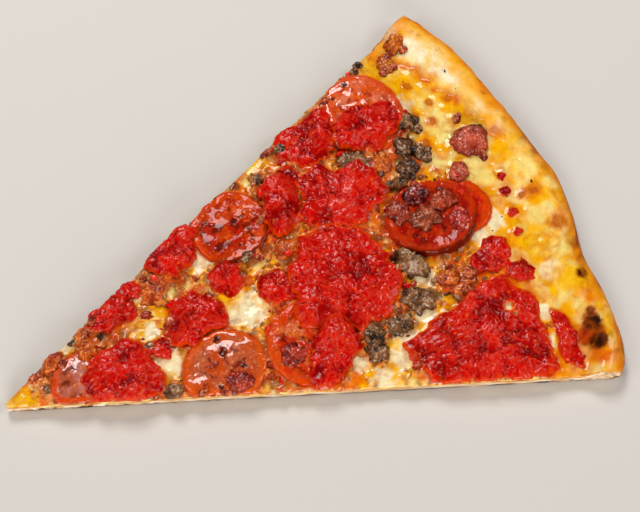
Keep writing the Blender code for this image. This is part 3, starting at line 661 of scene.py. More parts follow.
# ---------------------------------------------------------------- dough
@dataclass
class Dough:
    """The baked base: a flat bed, a puffed rim, a spotted underside and two cut faces."""

    rows: int = 300
    columns: int = 130
    levels: int = 10
    rim_rows: int = 120

    flour: np.ndarray = field(default_factory=lambda: tone(255, 244, 206))
    cream: np.ndarray = field(default_factory=lambda: tone(255, 224, 130))
    golden: np.ndarray = field(default_factory=lambda: tone(255, 178, 22))
    crusty: np.ndarray = field(default_factory=lambda: tone(238, 130, 2))
    brown: np.ndarray = field(default_factory=lambda: tone(160, 70, 6))
    crumb: np.ndarray = field(default_factory=lambda: tone(255, 240, 214))
    burnt: np.ndarray = field(default_factory=lambda: tone(58, 26, 8))

    def section(self, angle: np.ndarray) -> tuple[np.ndarray, np.ndarray]:
        """Upper and lower line of the dough along each direction, meeting at the belly.

        Args:
            angle: directions, shape (1, columns).

        Returns:
            (distance, height) of the upper line and of the lower line, as (rows, columns, 2).
        """
        edge, crest = PIE.edge(angle), PIE.ridge(angle)
        flat = self.rows - self.rim_rows
        run = np.linspace(0.0, 1.0, flat)[:, None]
        crest_at = edge - PIE.crest_in
        inner = edge - 36 * MM
        bed = PIE.tip_round + (inner - PIE.tip_round) * run
        rise = inner + (crest_at - inner) * np.linspace(0.0, 1.0, self.rim_rows * 2 // 3 + 1)[1:, None]
        along = np.vstack([bed, rise])
        x, y = self.spot(along, angle)
        top = np.stack([along, PIE.dough_top(x, y)], -1)
        rest = self.rows - len(along)
        turn = np.linspace(0.0, math.pi / 2, rest + 1)[1:, None]
        shoulder = top[-1:, :, 1]
        outer = np.stack([
            edge - PIE.crest_in * (1.0 - np.sin(turn)),
            PIE.belly + (shoulder - PIE.belly) * np.cos(turn),
        ], -1)
        upper = np.vstack([top, outer])
        foot = edge - PIE.foot_in
        under = PIE.tip_round + (foot - PIE.tip_round) * np.linspace(0.0, 1.0, self.rows - 24)[:, None]
        low = np.stack([under + 0 * edge, 0 * under + 0 * edge], -1)
        turn = np.linspace(math.pi, math.pi / 2, 25)[1:, None]
        round_under = np.stack([
            edge - PIE.foot_in * (1.0 - np.sin(turn)), PIE.belly * (1.0 + np.cos(turn)) + 0 * edge
        ], -1)
        return upper, np.vstack([low, round_under])

    @staticmethod
    def spot(along: np.ndarray, angle: np.ndarray) -> tuple[np.ndarray, np.ndarray]:
        """x and y of a distance and a direction from where the cuts meet."""
        return PIE.tip_x + along * np.cos(angle), along * np.sin(angle)

    def blistered(self, line: np.ndarray, angle: np.ndarray, amount: float) -> np.ndarray:
        """Points of a line swept round, with low blisters and dimples pushed out of the rim.

        The push is 0.3 mm of layered noise and 0.35 mm of scattered domes, along the
        section's own normal, and nothing at all on the two borders.
        """
        edge = PIE.edge(angle)
        slope = np.gradient(line, axis=0)
        normal = np.stack([-slope[..., 1], slope[..., 0]], -1)
        normal /= np.maximum(np.linalg.norm(normal, axis=-1, keepdims=True), 1e-9)
        length = np.cumsum(np.hypot(slope[..., 0], slope[..., 1]), axis=0)
        round_the_rim = edge * angle + 0 * length
        near, _, own = cells(length, round_the_rim, 7 * MM, 3)
        domes = np.where(own > 0.5, np.sqrt(np.clip(1.0 - (near / 0.42) ** 2, 0.0, 1.0)), 0.0)
        push = 0.22 * MM * layered(length, round_the_rim, 9 * MM, 21) + 0.3 * MM * domes - 0.45 * MM
        inner = eased(0.3 * MM, 6 * MM, line[..., 0] - PIE.cheese_end(angle))
        line = line + normal * (push * amount * inner)[..., None]
        x, y = self.spot(line[..., 0], angle)
        return np.stack([x, y, np.maximum(line[..., 1], 0.0)], -1)

    def upper_tint(self, points: np.ndarray, bed: Bed) -> np.ndarray:
        """Cream and floury on the bare band, golden over the crest, browner down the outside.

        Where the melt runs almost to the edge its pattern goes on over the rim.
        """
        x, y, z = np.moveaxis(points, -1, 0)
        angle, far = PIE.polar(x, y)
        inward = PIE.edge(angle) - far
        share = angle / PIE.half_angle
        waver = 1.6 * MM * layered(x + z, y, 9 * MM, 41)
        floury = np.exp(-(((inward - 13 * MM) / (5.5 * MM)) ** 2)) * (0.7 + 1.0 * layered(x, y, 7 * MM, 48))
        tint = mixed(self.golden, self.cream, 0.35 + 0.6 * layered(x, y, 12 * MM, 42))
        tint = mixed(tint, self.flour, 1.1 * floury)
        tint = mixed(tint, self.golden, 0.8 * eased(11 * MM, 5 * MM, inward + 2.0 * waver))
        tint = mixed(tint, self.crusty, 0.6 * eased(7 * MM, 2 * MM, inward + 2.0 * waver))
        greasy = eased(0.4, -0.1, share + 0.25 * layered(x, y, 11 * MM, 45))
        past = inward - (PIE.edge(angle) - PIE.cheese_end(angle))
        greasy = np.maximum(greasy, eased(-5 * MM, 0 * MM, past + waver))
        tint = mixed(tint, MELT.tint(x, y, bed), 0.9 * greasy * eased(0.8 * MM, 4 * MM, inward + waver))
        outer = eased(5.5 * MM, 1.0 * MM, inward + waver) * (0.55 + 0.8 * layered(x, y + z, 7 * MM, 46))
        tint = mixed(tint, self.crusty, outer)
        drop = eased(7.0 * MM, 2.5 * MM, z) * eased(7 * MM, 2 * MM, inward)
        tint = mixed(tint, self.brown, drop * (0.75 + 0.5 * layered(x, y + z, 6 * MM, 43)))
        corner = eased(0.9, 1.0, share + 0.03 * layered(x, y, 6 * MM, 49))
        tint = mixed(tint, self.crusty, 0.6 * corner)
        for along, wide, high in ((-36 * MM, 12 * MM, 0.9), (8 * MM, 12 * MM, 0.75), (-78 * MM, 8 * MM, 0.5)):
            scorched = np.exp(-(((y - along) / wide) ** 2)) * eased(9 * MM, 1.5 * MM, inward)
            tint = mixed(tint, self.brown, high * scorched * (0.55 + 1.1 * layered(x, y + z, 5 * MM, 47)))
        near, _, own = cells(x + 0.5 * waver, y, 4 * MM, 44)
        toast = eased(0.5, 0.1, near) * (own > 0.86) * eased(11 * MM, 3 * MM, inward)
        tint = mixed(tint, self.brown, 0.6 * toast)
        pore, _, pick = cells(x, y, 1.9 * MM, 57)
        small = eased(0.3, 0.12, pore) * (pick > 0.8) * eased(22 * MM, 6 * MM, inward)
        return mixed(tint, tone(204, 92, 6), 0.5 * small)

    def under_tint(self, points: np.ndarray) -> np.ndarray:
        """Pale and floury, with brown leopard spots where the base met the oven's floor."""
        x, y, z = np.moveaxis(points, -1, 0)
        near, _, own = cells(x, y, 9 * MM, 51)
        spots = eased(0.55, 0.15, near + 0.25 * layered(x, y, 4 * MM, 52)) * (own > 0.35)
        tint = mixed(tone(236, 206, 156), tone(206, 158, 98), 0.5 + 0.7 * layered(x, y, 22 * MM, 53))
        tint = mixed(tint, tone(126, 74, 34), 0.85 * spots)
        tint = mixed(tint, tone(246, 232, 208), eased(0.2, 0.6, layered(x, y, 3 * MM, 54)) * 0.5)
        return mixed(tint, self.brown, eased(0.2 * MM, 3.0 * MM, z) * 0.8)

    def cut_face(self, upper: np.ndarray, lower: np.ndarray, outward: float) -> Panel:
        """The crumb that the knife opened: pores of up to 0.7 mm, thin baked skins round it.

        Args:
            upper, lower: the two borders, (rows, 3).
            outward: +1 for the cut at +Y and -1 for the one at -Y.

        Returns:
            The panel between the borders, level by level.
        """
        share = np.linspace(0.0, 1.0, self.levels)[None, :, None]
        points = upper[:, None] * (1.0 - share) + lower[:, None] * share
        run = np.hypot(points[..., 0] - PIE.tip_x, points[..., 1])
        z = points[..., 2]
        seed = 61 if outward > 0 else 62
        near, _, own = cells(run, 1.6 * z, 2.6 * MM, seed)
        pores = eased(0.5, 0.15, near) * (own > 0.35)
        thick = np.linalg.norm(upper - lower, axis=1)[:, None]
        inside = np.sin(math.pi * share[..., 0]) ** 0.6 * eased(0.0, 2 * MM, thick)
        inside = inside * eased(PIE.tip_round, PIE.tip_round + 3 * MM, run)
        depth = (0.65 * pores + 0.25 * layered(run, z, 3 * MM, seed + 5)) * MM * inside
        inwards = np.array([math.sin(PIE.half_angle), -outward * math.cos(PIE.half_angle), 0.0])
        points = points + depth[..., None] * inwards
        tint = mixed(self.crumb, tone(226, 178, 122), 0.5 + 0.9 * layered(run, z, 5 * MM, seed + 6))
        tint = mixed(tint, tone(168, 104, 54), 0.7 * eased(0.2, 0.7, layered(run, 2.0 * z, 3.2 * MM, seed + 8)))
        # painted shade: darker inside the pores
        tint = mixed(tint, tone(196, 140, 84), 0.7 * pores * inside)
        tint = mixed(tint, tone(232, 168, 82), eased(0.75 * MM, 0.1 * MM, upper[:, None, 2] - z))
        low = z - lower[:, None, 2]
        char = eased(1.5 * MM, 0.5 * MM, low) * (0.8 + 0.9 * grain(run, 0 * z, 9 * MM, seed + 7))
        return Panel(points, mixed(tint, self.burnt, char))

    def dress(self, bed: Bed) -> bpy.types.Object:
        """Builds the dough and gives it its finish."""
        angle = np.linspace(-PIE.half_angle, PIE.half_angle, self.columns)[None, :]
        upper_line, lower_line = self.section(angle)
        upper = self.blistered(upper_line, angle, 1.0)
        lower = self.blistered(lower_line, angle, 0.0)
        lower[-1] = upper[-1]
        bulge = 0.15 * MM * np.abs(layered(lower[..., 0], lower[..., 1], 18 * MM, 71))
        flat = (lower[..., 2] < 0.01 * MM) & (PIE.to_cut(lower[..., 0], lower[..., 1]) > 1 * MM)
        lower[..., 2] = np.where(flat, bulge, lower[..., 2])
        panels = [Panel(upper, self.upper_tint(upper, bed)), Panel(lower, self.under_tint(lower))]
        panels.append(self.cut_face(upper[:, 0], lower[:, 0], -1.0))
        panels.append(self.cut_face(upper[:, -1], lower[:, -1], 1.0))
        made = skin("dough_baked", panels + self.tip_faces(upper, lower))
        made.data.materials.append(BAKED.material())
        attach(made, "root")
        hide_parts("crust")
        return made

    def tip_faces(self, upper: np.ndarray, lower: np.ndarray) -> list[Panel]:
        """The blunt little face at the tip, with the same levels as the cut faces."""
        share = np.linspace(0.0, 1.0, self.levels)[None, :, None]
        points = upper[0][:, None] * (1.0 - share) + lower[0][:, None] * share
        tint = np.broadcast_to(self.crumb, points.shape)
        return [Panel(points, tint)]


# ---------------------------------------------------------------- cheese
@dataclass
class Cheese:
    """The sheet of melt: swells, old bubbles, threads and sunken bits of meat."""

    rows: int = 340
    columns: int = 235
    stride: int = 9

    def height(self, x: np.ndarray, y: np.ndarray, bed: Bed) -> np.ndarray:
        """Top of the cheese over the dough.

        2 mm of melt, thinning to nothing over the last 12 mm, with 0.5 mm swells, domes of
        old bubbles, winding threads, sunken bits, and a rise where it climbs the toppings.
        """
        angle, far = PIE.polar(x, y)
        feather = np.clip((PIE.cheese_end(angle) - far) / (16.0 * MM), 0.0, 1.0) ** 1.3
        near, _, own = cells(x, y, 6.5 * MM, 81)
        domes = np.where(own > 0.5, np.sqrt(np.clip(1.0 - (near / 0.5) ** 2, 0.0, 1.0)), 0.0)
        busy = 1.0 - 0.6 * MELT.calm(x, y)
        detail = (
            0.4 * layered(x, y, 12 * MM, 83)
            + busy * (
                0.3 * domes
                + 0.25 * creased(x, y, 4.5 * MM, 84)
                + 0.14 * creased(x, y, 2.2 * MM, 86)
                - 0.3 * eased(0.3, 0.75, grain(x, y, 3.2 * MM, 85))
            )
        )
        rise, _, _ = MELT.bits(x, y, bed)
        held = bed.at(bed.near["held"], x, y)
        lumps = 0.85 * detail + 1.3 * held + 0.9 * rise + 0.8 * MELT.blisters(x, y)
        return PIE.dough_top(x, y) + (PIE.cheese + lumps * MM) * feather

    def tint(self, x: np.ndarray, y: np.ndarray, bed: Bed) -> np.ndarray:
        """The melt's pattern with the sunken bits over it."""
        _, cover, bits = MELT.bits(x, y, bed)
        return mixed(MELT.tint(x, y, bed), bits, 0.85 * cover)

    def dress(self, bed: Bed) -> bpy.types.Object:
        """Builds the sheet of melt with its rounded, slightly overhanging cut edges."""
        lane = np.linspace(-1.0, 1.0, self.columns)[None, :]
        angle = lane * PIE.half_angle
        share = np.linspace(0.0, 1.0, self.rows)[:, None]
        far = PIE.tip_round + (PIE.cheese_end(angle) - PIE.tip_round) * share
        x, y = Dough.spot(far, angle)
        side = np.sign(angle)
        melt = 0.25 * MM + 0.3 * MM * layered(far, 0 * far + side, 7 * MM, 101)
        over = eased(1.2 * MM, 0.0, PIE.to_cut(x, y)) * np.clip(melt, 0.0, 1 * MM) * eased(2 * MM, 20 * MM, far)
        x = x - over * math.sin(PIE.half_angle)
        y = y + side * over * math.cos(PIE.half_angle)
        inside = PIE.to_cut(x, y) + melt
        dip = 0.9 * MM * eased(1.3 * MM, 0.0, inside)
        tuck = 0.4 * MM * eased(1.5 * MM, 0.0, PIE.cheese_end(angle) - far)
        z = np.maximum(self.height(x, y, bed) - dip, PIE.dough_top(x, y) + 0.03 * MM) - tuck
        top = np.stack([x, y, z], -1)
        low_lane = lane[:, :: self.stride]
        low_angle = low_lane * PIE.half_angle
        low_far = PIE.tip_round + (PIE.cheese_end(low_angle) - PIE.tip_round) * share
        lx, ly = Dough.spot(low_far, low_angle * 0.995)
        deep = 0.3 * MM + 0.8 * MM * eased(4.5 * MM, 7 * MM, PIE.dough_top(lx, ly))
        under = np.stack([lx, ly, PIE.dough_top(lx, ly) - deep], -1)
        panels = [
            Panel(top, self.tint(x, y, bed)),
            Panel(under, np.broadcast_to(MELT.orange, under.shape)),
        ]
        for column in (0, -1):
            panels.append(self.hanging_edge(top[:, column], under[:, column]))
        ends = [
            Panel(ring[None], MELT.tint(ring[None, :, 0], ring[None, :, 1], bed))
            for row in (0, -1)
            for ring in self.end_faces(top[row], under[row], panels[2].points[row], panels[3].points[row])
        ]
        made = skin("cheese_melted", panels, ends)
        made.data.materials.append(MELTED.material())
        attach(made, "root")
        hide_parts("cheese")
        return made

    def end_faces(self, top: np.ndarray, under: np.ndarray, left: np.ndarray, right: np.ndarray) -> list:
        """Small faces that join one end of the top to the coarser underside, stretch by stretch.

        Args:
            top, under: the two rows to join, the underside's with one point in every stride.
            left, right: the column of points that closes the row at either side.

        Returns:
            The rings of corners.
        """
        rings = []
        for k in range(len(under) - 1):
            upper = top[k * self.stride : (k + 1) * self.stride + 1]
            ring = [upper, under[k : k + 2][::-1]]
            if k == 0:
                ring.append(left[1:-1][::-1])
            if k == len(under) - 2:
                ring.insert(1, right[1:-1])
            rings.append(np.vstack(ring))
        return rings

    def hanging_edge(self, top: np.ndarray, under: np.ndarray) -> Panel:
        """The melt's cut edge: a soft bulge that hangs a little over the dough's cut."""
        share = np.linspace(0.0, 1.0, 6)[None, :, None]
        points = top[:, None] * (1.0 - share) + under[:, None] * share
        run = top[:, 0]
        side = np.sign(top[-1, 1])
        hang = np.clip(0.5 + layered(run, 0 * run + side, 9 * MM, 111), 0.0, 1.6)[:, None]
        belly = np.sin(math.pi * share[..., 0] ** 0.8)
        points[..., 2] -= 0.55 * MM * hang * belly
        back = np.hypot(run - PIE.tip_x, top[:, 1])[:, None]
        out = 0.3 * MM * belly * (0.6 + 0.5 * hang) * eased(PIE.tip_round, 12 * MM, back)
        points[..., 0] -= out * math.sin(PIE.half_angle)
        points[..., 1] += side * out * math.cos(PIE.half_angle)
        weight = 0.5 + 0.8 * layered(points[..., 0], points[..., 2], 6 * MM, 112)
        return Panel(points, mixed(mixed(MELT.cream, MELT.yellow, weight), tone(206, 112, 34), weight - 0.1))


# ---------------------------------------------------------------- toppings
@dataclass
class Topping:
    """A piece laid on what is there: sunk a little into it, rounded at its edge."""

    name: str
    plan: Plan
    seed: int
    lift: float = 1.5 * MM
    fineness: float = 0.36 * MM
    rim: float = 1.4 * MM
    spread: float = 2.0 * MM
    sink: float = 0.35 * MM
    squash: float = 1.0

    def outline(self) -> Plan:
        """The plan with the unevenness of its kind."""
        return self.plan.roughened(0.5 * MM, 4 * MM, 1.0 * MM, self.seed)

    def relief(self, x: np.ndarray, y: np.ndarray, share: np.ndarray) -> np.ndarray:
        """Lumps and hollows of the kind, in metres above the plain top."""
        return 0.0 * share

    def tint(self, x: np.ndarray, y: np.ndarray, share: np.ndarray, relief: np.ndarray) -> np.ndarray:
        """Colours of the kind."""
        raise NotImplementedError

    def crown(self, share: np.ndarray) -> np.ndarray:
        """Thickness of a piece that has no solid in the frame, as a share of its lift."""
        return 1.0 - 0.6 * share**2

    def height(self, plan: Plan, x: np.ndarray, y: np.ndarray, share: np.ndarray, bed: Bed) -> tuple:
        """Top of the piece.

        Between its middle and its outline the height turns from the solid's own top, plus
        the relief, to the bed, by a quarter of an ellipse.

        Returns:
            The height and the relief alone.
        """
        ground, soft = bed.at(bed.height, x, y), bed.at(self.soft, x, y)
        if len(plan.tops):
            rise = self.squash * np.maximum(plan.top(x, y, self.spread) - soft, 0.3 * self.lift)
        else:
            rise = self.lift * self.crown(share)
        relief = self.relief(x, y, share)
        shoulder = 1.0 - self.rim / plan.reach.mean()
        past = np.clip((share - shoulder) / (1.0 - shoulder), 0.0, 1.0)
        full = np.sqrt(1.0 - past * past)
        z = ground * (1.0 - full) + (soft + rise + relief) * full
        return np.clip(z, ground + 0.12 * MM * full, CEILING), relief

    @staticmethod
    def trimmed(x: np.ndarray, y: np.ndarray) -> tuple[np.ndarray, np.ndarray]:
        """Draws what stands past a cut back to it: past becomes p tanh(past / p)."""
        past = np.maximum(-PIE.to_cut(x, y), 0.0)
        proud = np.where(y > 0.0, PROUD_LEFT, PROUD_RIGHT)
        back = past - proud * np.tanh(past / proud)
        return x + back * math.sin(PIE.half_angle), y - np.sign(y) * back * math.cos(PIE.half_angle)

    def lay(self, bed: Bed) -> list[Panel]:
        """Works out the skin of the piece and raises the bed to it.

        Args:
            bed: what is there already.

        Returns:
            The top and the underside, which meet along the outline.
        """
        plan = self.outline()
        self.soft = bed.softened(bed.height, 1.6 * MM)
        size = plan.reach.mean()
        spokes = int(np.clip(2.0 * math.pi * size / self.fineness, 28, 560))
        turn = np.arange(spokes) * 2.0 * math.pi / spokes
        shoulder = 1.0 - self.rim / size
        inner = np.linspace(0.0, shoulder, max(4, int(size * shoulder / self.fineness)))
        outer = np.sin(np.linspace(0.0, math.pi / 2, 10))[1:]
        rings = np.concatenate([inner, shoulder + (1.0 - shoulder) * outer])
        out = plan.out_to(turn)[None, :]

        def spread_out(share: np.ndarray) -> tuple[np.ndarray, np.ndarray]:
            """x and y of rings at these shares of the outline, kept in at the knife's cuts."""
            return self.trimmed(
                plan.centre[0] + share * out * np.cos(turn), plan.centre[1] + share * out * np.sin(turn)
            )

        share = rings[:, None] + 0.0 * out
        x, y = spread_out(share)
        z, relief = self.height(plan, x, y, share, bed)
        top = Panel(np.stack([x, y, z], -1), self.tint(x, y, share, relief), wraps=True)
        low = np.array([1.0, 0.9, 0.6, 0.3, 0.0])[:, None] + 0.0 * out
        lx, ly = spread_out(low)
        lz = bed.at(bed.height, lx, ly) - self.sink * (low < 1.0)
        lz[0] = z[-1]
        # the underside is painted at 0.6 of the top's colour: painted shade under the piece
        under = Panel(
            np.stack([lx, ly, lz], -1), self.tint(lx, ly, 0.98 + 0 * low, 0 * low) * 0.6, wraps=True
        )
        cut = bed.window(plan.centre, plan.reach.max())
        gx, gy = bed.grid[0][cut], bed.grid[1][cut]
        gs = plan.share(gx, gy)
        gz, _ = self.height(plan, gx, gy, np.minimum(gs, 1.0), bed)
        bed.height[cut] = np.where(gs < 1.0, np.maximum(gz, bed.height[cut]), bed.height[cut])
        return [top, under]


@dataclass
class Sauce(Topping):
    """A dollop of crushed tomato: small soft lumps run together under winding wet skins."""

    rim: float = 2.6 * MM
    lift: float = 1.6 * MM
    fineness: float = 0.32 * MM
    grow: float = 0.7 * MM

    # deep is painted shade for the hollows; the pale pink below red is a painted sheen for the ridges.
    deep: np.ndarray = field(default_factory=lambda: tone(140, 0, 0))
    red: np.ndarray = field(default_factory=lambda: tone(206, 2, 0))
    painted_sheen: np.ndarray = field(default_factory=lambda: tone(240, 76, 46))
    halo: np.ndarray = field(default_factory=lambda: tone(236, 66, 0))
    holes: tuple = ()

    def outline(self) -> Plan:
        """Lobed and ragged, run out a little further than the dollop was dropped."""
        grown = Plan(self.plan.centre, self.plan.reach + self.grow, self.plan.tops)
        return grown.roughened(1.5 * MM, min(4.5 * MM, 1.3 * grown.reach.mean()), 0.8 * MM, self.seed, 0.6)

    def relief(self, x: np.ndarray, y: np.ndarray, share: np.ndarray) -> np.ndarray:
        """Slow swells, soft lumps of 7 mm run together, and winding ridges 1 to 2 mm apart."""
        wx = x + 2.6 * MM * layered(x, y, 7 * MM, 118)
        wy = y + 2.6 * MM * layered(x, y, 7 * MM, 119)
        near, then, own = cells(wx, wy, 8.5 * MM, 121)
        folds = np.exp(-(((then - near) / 0.14) ** 2)) * eased(-0.35, 0.35, grain(x, y, 9 * MM, 125))
        hollow = sum(eased(1.2, 0.5, np.hypot(x - hx * MM, y - hy * MM) / (r * MM)) for hx, hy, r in self.holes)
        return MM * (
            0.7 * layered(x, y, 14 * MM, 120, 2)
            + (0.2 + 0.8 * own) * (0.75 - 1.5 * near**2) * 1.1
            - 0.45 * folds
            + 0.25 * layered(x, y, 3.8 * MM, 122, 2)
            + 0.26 * creased(x, y, 3.4 * MM, 123)
            + 0.11 * creased(x, y, 1.5 * MM, 124)
            - 1.4 * hollow
            - 0.3
        )

    def tint(self, x: np.ndarray, y: np.ndarray, share: np.ndarray, relief: np.ndarray) -> np.ndarray:
        """Painted shade in the hollows, a painted pink sheen on the ridges, with a few orange seeds and flecks."""
        high = eased(-1.0 * MM, 0.7 * MM, relief)
        thin = 0.75 * creased(x, y, 1.5 * MM, 124) + 0.7 * creased(x, y, 3.4 * MM, 123)
        broad = layered(x, y, 9 * MM, 131, 2)
        # painted shade: lower relief is darker; then a painted pink sheen along the ridges
        tint = mixed(self.deep, self.red, 1.25 * high + 0.4 * broad)
        tint = mixed(tint, self.painted_sheen, 0.38 * eased(0.2, 1.1, thin * (0.35 + high + 0.5 * broad)))
        tint = mixed(tint, self.halo, 0.85 * eased(0.9, 1.0, share + 0.05 * layered(x, y, 2 * MM, 134)))
        fleck, _, own = cells(x, y, 3.6 * MM, 132)
        tint = mixed(tint, tone(240, 110, 30), 0.7 * eased(0.16, 0.08, fleck) * (own > 0.86))
        dark, _, pick = cells(x, y, 5.0 * MM, 133)
        tint = mixed(tint, tone(60, 2, 2), 0.8 * eased(0.12, 0.06, dark) * (pick > 0.78))
        for hx, hy, radius in self.holes:
            apart = np.hypot(x - hx * MM, y - hy * MM) / (radius * MM) + 0.3 * layered(x, y, 1.5 * MM, 135)
            tint = mixed(tint, tone(246, 96, 10), eased(1.5, 0.9, apart))
            tint = mixed(tint, tone(255, 236, 180), eased(0.9, 0.5, apart))
        return tint


@dataclass
class Pepperoni(Topping):
    """A round slice of cured sausage: patched with fat, glossy, its edge curled.

    pocks are baked holes (x, y, radius) in millimetres; burnt_side is the direction of the
    part of the edge that curled up and scorched, in degrees.
    """

    rim: float = 1.6 * MM
    lift: float = 1.2 * MM
    fineness: float = 0.3 * MM

    heart: np.ndarray = field(default_factory=lambda: tone(224, 96, 34))
    meat: np.ndarray = field(default_factory=lambda: tone(210, 42, 2))
    dark: np.ndarray = field(default_factory=lambda: tone(128, 10, 0))
    ring: np.ndarray = field(default_factory=lambda: tone(232, 72, 0))
    fat: np.ndarray = field(default_factory=lambda: tone(240, 140, 80))
    pocks: tuple = ()
    burnt_side: float | None = None
    dome: float = 0.2

    def outline(self) -> Plan:
        """Nearly round, with a slight waver."""
        return self.plan.roughened(0.6 * MM, 6 * MM, 1.2 * MM, self.seed)

    def relief(self, x: np.ndarray, y: np.ndarray, share: np.ndarray) -> np.ndarray:
        """Swells of 10 mm, a few broad wrinkles, pitted fat, and the lip left by curling."""
        pits = eased(0.35, 0.7, grain(x, y, 2.2 * MM, 141 + self.seed))
        sunk = sum(eased(1.2, 0.3, np.hypot(x - px * MM, y - py * MM) / (r * MM)) for px, py, r in self.pocks)
        return MM * (
            self.dome * (1.0 - 1.3 * share**2)
            + 0.5 * grain(x, y, 12 * MM, 142 + self.seed)
            + 0.12 * grain(x, y, 5 * MM, 143 + self.seed)
            + 0.08 * creased(x, y, 9 * MM, 145 + self.seed)
            + 0.03 * layered(x, y, 2.4 * MM, 144, 2)
            + 0.25 * eased(0.6, 0.9, share)
            - 0.05 * pits
            - 0.6 * sunk
            - 0.25
        )

    def tint(self, x: np.ndarray, y: np.ndarray, share: np.ndarray, relief: np.ndarray) -> np.ndarray:
        """Broad patches of meat, brown and fat, an orange ring that bleeds out, baked pocks."""
        broad = layered(x, y, 8 * MM, 150 + self.seed)
        coarse = layered(x, y, 3.6 * MM, 151 + self.seed)
        fine = layered(x, y, 1.4 * MM, 152 + self.seed, 2)
        tint = mixed(self.meat, self.heart, 0.4 + 1.2 * broad + 0.5 * coarse)
        tint = mixed(tint, self.dark, 0.9 * eased(0.05, 0.6, coarse - 0.5 * broad + 0.25 * fine))
        tint = mixed(tint, self.fat, 0.6 * eased(0.3, 0.7, fine + 0.3 * broad) * eased(0.95, 0.8, share))
        tint = mixed(tint, self.ring, 0.85 * eased(0.72, 0.92, share + 0.12 * coarse))
        if self.burnt_side is not None:
            way = np.arctan2(y - self.plan.centre[1], x - self.plan.centre[0]) - math.radians(self.burnt_side)
            curl = eased(0.2, 0.9, np.cos(way)) * eased(0.84, 0.95, share + 0.04 * coarse)
            tint = mixed(tint, tone(92, 16, 4), 0.85 * curl)
        for px, py, radius in self.pocks:
            apart = np.hypot(x - px * MM, y - py * MM) / (radius * MM) + 0.3 * fine
            tint = mixed(tint, tone(46, 8, 4), 0.9 * eased(1.1, 0.6, apart))
        return tint


@dataclass
class Meat(Topping):
    """A crumble of cooked meat: craggy, cracked, speckled."""

    rim: float = 1.3 * MM
    lift: float = 2.0 * MM
    fineness: float = 0.22 * MM
    spread: float = 1.4 * MM
    crag: float = 1.0

    # dark is the meat's dark grain and also painted shade; light is its pale specks and also painted highlights.
    dark: np.ndarray = field(default_factory=lambda: tone(50, 24, 8))
    mid: np.ndarray = field(default_factory=lambda: tone(160, 104, 60))
    light: np.ndarray = field(default_factory=lambda: tone(208, 182, 150))
    grown: float = 0.7 * MM
    torn: float = 0.26
    squash: float = 0.85
    patch: float = 2.2 * MM
    grainy: float = 1.0
    burnt_side: float | None = None

    def outline(self) -> Plan:
        """Torn rather than cut."""
        grown = Plan(self.plan.centre, self.plan.reach + self.grown, self.plan.tops)
        return grown.roughened(2.6 * MM, min(4.0 * MM, 1.4 * grown.reach.mean()), 0.5 * MM, self.seed, self.torn)

    def relief(self, x: np.ndarray, y: np.ndarray, share: np.ndarray) -> np.ndarray:
        """Ledges of torn meat 0.5 mm high, cracks between slabs of 4 mm, and grains of 1 mm."""
        wx = x + 0.9 * MM * layered(x, y, 2.6 * MM, 158)
        wy = y + 0.9 * MM * layered(x, y, 2.6 * MM, 159)
        near, then, own = cells(wx, wy, 5.0 * MM, 161 + self.seed)
        cracks = np.exp(-(((then - near) / 0.08) ** 2))
        step = 1.7 * layered(x, y, 5.2 * MM, 162 + self.seed, 2)
        ledges = np.floor(step) + eased(0.35, 1.0, step - np.floor(step))
        return self.crag * MM * (
            0.5 * (own - 0.6)
            + 0.55 * ledges
            - 0.35 * cracks
            + 0.28 * layered(x, y, 2.4 * MM, 163 + self.seed, 2)
            + 0.08 * grain(x, y, 0.9 * MM, 164 + self.seed)
        )

    def tint(self, x: np.ndarray, y: np.ndarray, share: np.ndarray, relief: np.ndarray) -> np.ndarray:
        """Painted shade in the cracks, low down and round the outline, painted highlights on the crags, with pale
        specks.
        """
        high = eased(-0.8 * MM, 0.5 * MM, relief)
        fine = self.grainy * layered(x, y, 1.0 * MM, 172 + self.seed, 2)
        # painted shade: lower relief is darker
        tint = mixed(self.dark, self.mid, 0.15 + 0.9 * high + 0.6 * layered(x, y, self.patch, 171))
        # pale specks, brightened on the crags as a painted highlight
        tint = mixed(tint, self.light, 0.8 * eased(0.15, 0.65, fine + 0.6 * (high - 0.5)))
        tint = mixed(tint, self.dark, 0.8 * eased(0.3, 0.6, -fine))
        if self.burnt_side is not None:
            way = np.arctan2(y - self.plan.centre[1], x - self.plan.centre[0]) - math.radians(self.burnt_side)
            tint = mixed(tint, tone(44, 12, 6), 0.95 * eased(0.35, 0.95, share * np.cos(way) + 0.2 * fine))
        # painted shade round the foot of the outline
        return mixed(tint, self.dark, 0.6 * eased(0.88, 1.0, share))


